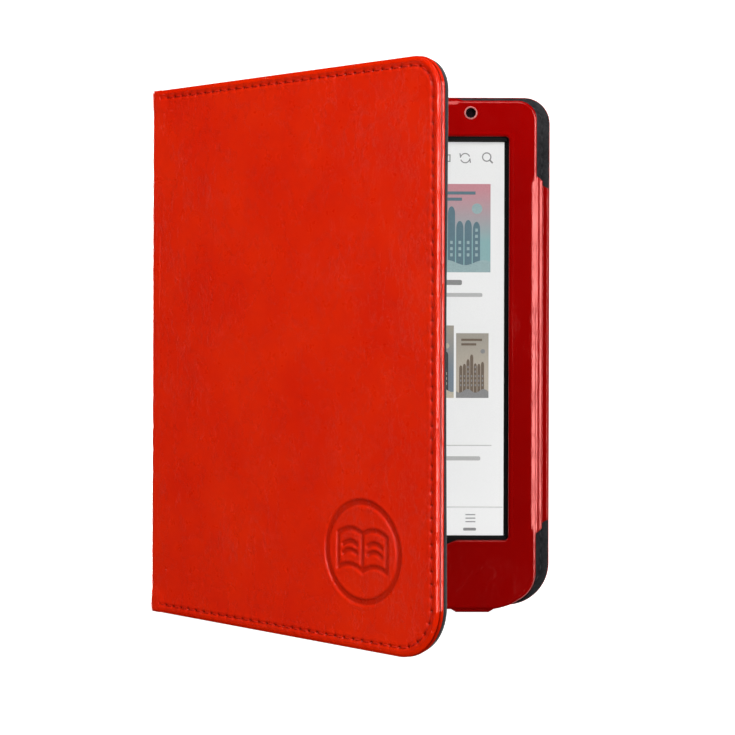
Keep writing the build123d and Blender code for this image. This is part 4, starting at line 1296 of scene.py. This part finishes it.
page = rectangle(-PAGE_HALF_WIDTH, PAGE_LOW, PAGE_HALF_WIDTH, PAGE_HIGH)
printed_shapes("page_sheet", [page], 0, page_white)

MASK_REACH, MASK_LOW, MASK_HIGH = 46.3, 22.4, PAGE_HIGH + 0.6
beside_page = PAGE_HALF_WIDTH + 0.05
printed_shapes("page_mask", [
    rectangle(beside_page, MASK_LOW, MASK_REACH, MASK_HIGH),
    rectangle(-MASK_REACH, MASK_LOW, -beside_page, MASK_HIGH),
    rectangle(-beside_page, MASK_LOW, beside_page, PAGE_LOW - 0.05),
    rectangle(-beside_page, PAGE_HIGH + 0.05, beside_page, MASK_HIGH),
], 1, mask_black)

COVER_COLUMNS = ((-41.0, -17.4), (-11.8, 11.8), (17.4, 41.0))


def book_cover(name, x_low, x_high, z_low, z_high, tones, seed):
    """An abstract book cover in shares of its size: graded sky, arches, hills and blank title bars."""
    sky_top, sky_foot, shade, accent = tones
    chance = random.Random(seed)
    width, height = x_high - x_low, z_high - z_low
    sky = printed_sky(f"{name}_sky", sky_foot, sky_top, z_low + height * 0.35, z_low + height * 0.95)
    printed_shapes(f"{name}_sheet", [rectangle(x_low, z_low, x_high, z_high)], 1, sky)
    towers = []
    tower_width = width / 9
    foot = z_low + height * 0.06
    for k in range(7):
        foot_x = x_low + width * 0.1 + k * tower_width
        crest = z_low + height * chance.uniform(0.45, 0.7)
        arch = [(foot_x + tower_width * (0.43 + 0.43 * math.cos(a)), crest + tower_width * 0.9 * math.sin(a))
                for a in np.linspace(0, math.pi, 9)]
        towers.append([(foot_x, foot), (foot_x + tower_width * 0.86, foot)] + arch)
    printed_shapes(f"{name}_arches", towers, 2, shade)
    windows = []
    for tower in towers:
        left, right = tower[0][0], tower[1][0]
        margin = (right - left) * 0.32
        for level in range(3 + chance.randrange(3)):
            sill = z_low + height * (0.18 + 0.07 * level)
            windows.append(rectangle(left + margin, sill, right - margin, sill + height * 0.035))
    printed_shapes(f"{name}_windows", windows, 3, accent)
    hill = [(x_low, z_low), (x_high, z_low)]
    for s in range(17):
        crest = z_low + height * (0.11 + 0.03 * math.sin(s * 0.8 + seed))
        hill.append((x_high - width * s / 16, crest))
    printed_shapes(f"{name}_hill", [hill], 3, accent)
    sun = disc(x_low + width * 0.82, z_low + height * 0.72, width * 0.07)
    printed_shapes(f"{name}_disc", [sun], 3, accent)
    bars = [rectangle(x_low + width * 0.16, z_low + height * level,
                      x_low + width * reach, z_low + height * (level + 0.035))
            for level, reach in ((0.88, 0.8), (0.81, 0.62))]
    printed_shapes(f"{name}_bars", bars, 3, shade)


ROSE, PEACH, SAND = (0.62, 0.28, 0.32), (0.72, 0.46, 0.36), (0.52, 0.46, 0.38)
TEAL, SLATE, STONE = (0.27, 0.46, 0.47), (0.2, 0.25, 0.3), (0.38, 0.35, 0.30)
UPPER_SHELF, LOWER_SHELF = (105.6, 133.3), (66.2, 88.9)
for index, (label, tones) in enumerate((
    ("left", (SAND, PEACH, tint_umber, tint_teal)),
    ("middle", (SLATE, TEAL, tint_blue, tint_sand)),
    ("right", (ROSE, TEAL, tint_slate, tint_fog)),
)):
    book_cover(f"upper_{label}_cover", *COVER_COLUMNS[index], *UPPER_SHELF, tones, 11 + index)

shelf_x = (-33.5, -16.7, 0.1, 16.9)
shelf_tones = (
    (PEACH, SAND, tint_umber, tint_teal),
    (TEAL, SLATE, ink_grey, tint_sand),
    (SAND, SLATE, tint_blue, ink_dark),
    (STONE, SLATE, ink_dark, tint_sand),
)
for index, (x, tones) in enumerate(zip(shelf_x, shelf_tones)):
    book_cover(f"lower_cover_{index + 1}", x, x + 12.7, *LOWER_SHELF, tones, 20 + index)
book_cover("lower_cover_5", 30.3, 40.5, LOWER_SHELF[0], 86.5, (STONE, SAND, tint_umber, ink_grey), 31)

caption_bars, caption_notes = [], []
for x_low, x_high in COVER_COLUMNS:
    caption_bars.append(rectangle(x_low, 101.6, x_high - 8.9, 103.2, 0.5))
    caption_notes.append(rectangle(x_low, 97.9, x_high - 2.5, 99.1, 0.4))
for x in shelf_x:
    caption_notes.append(rectangle(x, 62.6, x + 10.2, 63.7, 0.4))
printed_shapes("caption_bars", caption_bars, 1, ink_grey)
printed_shapes("caption_notes", caption_notes, 1, ink_pale)

text_bars = [rectangle(-41.0, low, reach, high, 0.5)
             for low, reach, high in ((46.6, 38.0, 47.9), (41.8, 21.0, 43.0), (37.8, 24.0, 39.0))]
printed_shapes("text_bars", text_bars, 1, ink_pale)
printed_shapes("dividers", [rectangle(-41.5, 51.2, 41.5, 51.45), rectangle(-45.0, 31.85, 45.0, 32.1)],
               1, ink_pale)


def box_lines(x_low, z_low, x_high, z_high):
    """A box drawn with a thin line."""
    width = 0.35
    return [rectangle(x_low, z_low, x_high, z_low + width), rectangle(x_low, z_high - width, x_high, z_high),
            rectangle(x_low, z_low, x_low + width, z_high), rectangle(x_high - width, z_low, x_high, z_high)]


SYNC_PLACE, SYNC_LINE = (33.0, 141.4), 0.34
BUTTONS_X = (-35.0, -12.3, 10.4)
icon_lines = []
for start in (20, 200):
    icon_lines += ring_quads(*SYNC_PLACE, 1.45, SYNC_LINE, start, start + 145)
icon_lines += [stroke(31.35, 142.9, 31.55, 141.5, SYNC_LINE), stroke(34.65, 139.9, 34.45, 141.3, SYNC_LINE)]
icon_lines += ring_quads(39.75, 141.75, 1.3, 0.38)
icon_lines += [stroke(40.65, 140.85, 41.65, 139.85, 0.5)]
icon_lines += box_lines(26.2, 140.2, 28.4, 142.55)
icon_lines += [rectangle(-41.0, z, -38.0, z + 0.4) for z in (142.3, 141.2, 140.1)]
icon_lines += [rectangle(33.4, z - 0.17, 36.5, z + 0.17) for z in (29.6, 28.5, 27.4)]
for x in BUTTONS_X:
    icon_lines += box_lines(x - 1.5, 27.2, x + 1.5, 29.8)
printed_shapes("page_icons", icon_lines, 1, ink_icon)
printed_shapes("label_bars", [rectangle(x - 2.0, 24.6, x + 2.0, 25.5, 0.3) for x in (*BUTTONS_X, 34.7)],
               1, ink_grey)

# ---- finishes for the frame's own nodes
SLOT_FINISHES = {
    "folio_leather": cover_leather, "holder_leather": holder_leather, "lining_fabric": lining_cloth,
    "e_ink": page_white,
}
for slot, name, *look in (
    ("black_plastic", "black_plastic", (0.010, 0.010, 0.011), (0.018, 0.018, 0.019), (0.42, 0.56), 2400,
     0.00006),
    ("bezel_plastic", "bezel_plastic", (0.003, 0.003, 0.0032), (0.006, 0.006, 0.0062), (0.34, 0.46), 2600,
     0.00004, 0.0, 0.18),
    ("lens", "lens_plastic", (0.004, 0.003, 0.004), (0.010, 0.006, 0.008), (0.08, 0.16), 900, 0.00001),
    ("grey_board", "grey_board", (0.24, 0.21, 0.17), (0.34, 0.30, 0.25), (0.8, 0.95), 1500, 0.0001),
    ("screen_film", "screen_film", (0.60, 0.61, 0.60), (0.68, 0.69, 0.68), (0.35, 0.5), 3000, 0.00001),
    ("clear_guide", "clear_guide", (0.72, 0.76, 0.78), (0.80, 0.83, 0.85), (0.08, 0.2), 700, 0.00001),
    ("magnesium", "magnesium", (0.42, 0.43, 0.44), (0.52, 0.53, 0.54), (0.38, 0.55), 1400, 0.00004, 1.0),
    ("steel", "steel", (0.55, 0.55, 0.56), (0.66, 0.66, 0.67), (0.22, 0.38), 1800, 0.00002, 1.0),
    ("magnet", "magnet_metal", (0.48, 0.47, 0.46), (0.60, 0.59, 0.57), (0.25, 0.4), 1200, 0.00002, 1.0),
    ("circuit_board", "circuit_board", (0.006, 0.07, 0.03), (0.012, 0.11, 0.05), (0.3, 0.45), 1600, 0.00003),
    ("chip", "chip_epoxy", (0.012, 0.012, 0.013), (0.024, 0.024, 0.025), (0.45, 0.62), 3000, 0.00004),
    ("flex_film", "flex_film", (0.42, 0.18, 0.03), (0.55, 0.26, 0.05), (0.25, 0.4), 1200, 0.00002),
    ("battery_foil", "battery_foil", (0.50, 0.51, 0.53), (0.62, 0.63, 0.65), (0.3, 0.5), 500, 0.00012, 0.9),
    ("seal_rubber", "seal_rubber", (0.014, 0.014, 0.014), (0.028, 0.028, 0.028), (0.6, 0.8), 2000, 0.00006),
    ("connector", "connector_metal", (0.50, 0.48, 0.44), (0.62, 0.60, 0.55), (0.25, 0.42), 1500,
     0.00003, 1.0),
):
    SLOT_FINISHES[slot] = moulded(name, *look)
record_slots = {subpart["node"]: subpart["material_slot"] for subpart in frame["record"]["subparts"]}
for name, node in frame["nodes"].items():
    finish = SLOT_FINISHES["lens" if name == "sensor_lens" else record_slots[name]]
    if not node.material_slots:
        node.data.materials.append(finish)
    for slot in node.material_slots:
        slot.material = finish

# ---- white studio
def white_surface(name, strength):
    """Plain studio white with a slight paper tooth."""
    look = Surface(name)
    look.put(Base_Color=look.mix(look.noise(300, detail=3), (0.46, 0.46, 0.46), (0.50, 0.50, 0.50)),
             Roughness=0.9, Emission_Color=(1.0, 1.0, 1.0), Emission_Strength=strength)
    return look.material


def build_backdrop():
    """A floor that curves up into a back wall."""
    floor_y, wall_y, radius, half, top = -9.0, 0.9, 0.4, 7.0, 6.0
    profile = [(floor_y, 0.0), (wall_y - radius, 0.0)]
    for k in range(1, 17):
        angle = math.pi / 2 * k / 16
        profile.append((wall_y - radius + radius * math.sin(angle), radius * (1 - math.cos(angle))))
    profile.append((wall_y, top))
    points = [(x, y, z - 0.0012) for y, z in profile for x in (-half, half)]
    piece = new_piece("backdrop", points, grid_faces(len(profile), 2), [white_surface("studio_white", 1.0)])
    piece.visible_glossy = False
    piece.visible_diffuse = False


build_backdrop()


def softbox(name, place, size, power):
    """A rectangular area light aimed at the e-reader."""
    light = bpy.data.lights.new(name, "AREA")
    light.shape = "RECTANGLE"
    light.size, light.size_y = size
    light.energy = power
    lamp = bpy.data.objects.new(name, light)
    bpy.context.scene.collection.objects.link(lamp)
    lamp.location = place
    lamp.rotation_euler = (Vector(AIM) - Vector(place)).to_track_quat("-Z", "Y").to_euler()


AIM = (0.0, 0.0, 0.08)
softbox("top_box", (-0.08, -0.6, 0.8), (0.8, 0.3), 6.6)
softbox("front_left_strip", (-0.6, -0.8, 0.16), (0.06, 0.7), 5.4)
softbox("front_right_strip", (0.5, -0.72, 0.16), (0.085, 0.7), 6.0)
softbox("rim_left", (-0.42, 0.6, 0.14), (0.16, 0.6), 9.0)
softbox("rim_right", (0.7, 0.1, 0.14), (0.1, 0.6), 2.0)

world = bpy.data.worlds.new("studio")
bpy.context.scene.world = world
world.use_nodes = True
background = world.node_tree.nodes["Background"]
background.inputs["Color"].default_value = (1, 1, 1, 1)
seen_or_lit = world.node_tree.nodes.new("ShaderNodeLightPath")
strength = world.node_tree.nodes.new("ShaderNodeMapRange")
strength.inputs["To Min"].default_value = 0.22
strength.inputs["To Max"].default_value = 1.0
world.node_tree.links.new(seen_or_lit.outputs["Is Camera Ray"], strength.inputs["Value"])
world.node_tree.links.new(strength.outputs["Result"], background.inputs["Strength"])
world.cycles_visibility.glossy = False

# ---- camera
camera_data = bpy.data.cameras.new("camera")
camera_data.sensor_width = 36.0
camera_data.lens = 84.93
camera_data.shift_y = -0.0698
camera_data.dof.use_dof = False
camera_data.clip_start = 0.01
camera = bpy.data.objects.new("camera", camera_data)
bpy.context.scene.collection.objects.link(camera)
camera.location = (-0.00023, -0.5527, 0.09174)
camera.rotation_euler = (math.pi / 2, math.radians(-0.162), math.radians(-0.288))
bpy.context.scene.camera = camera
bpy.context.scene.view_settings.view_transform = "Standard"
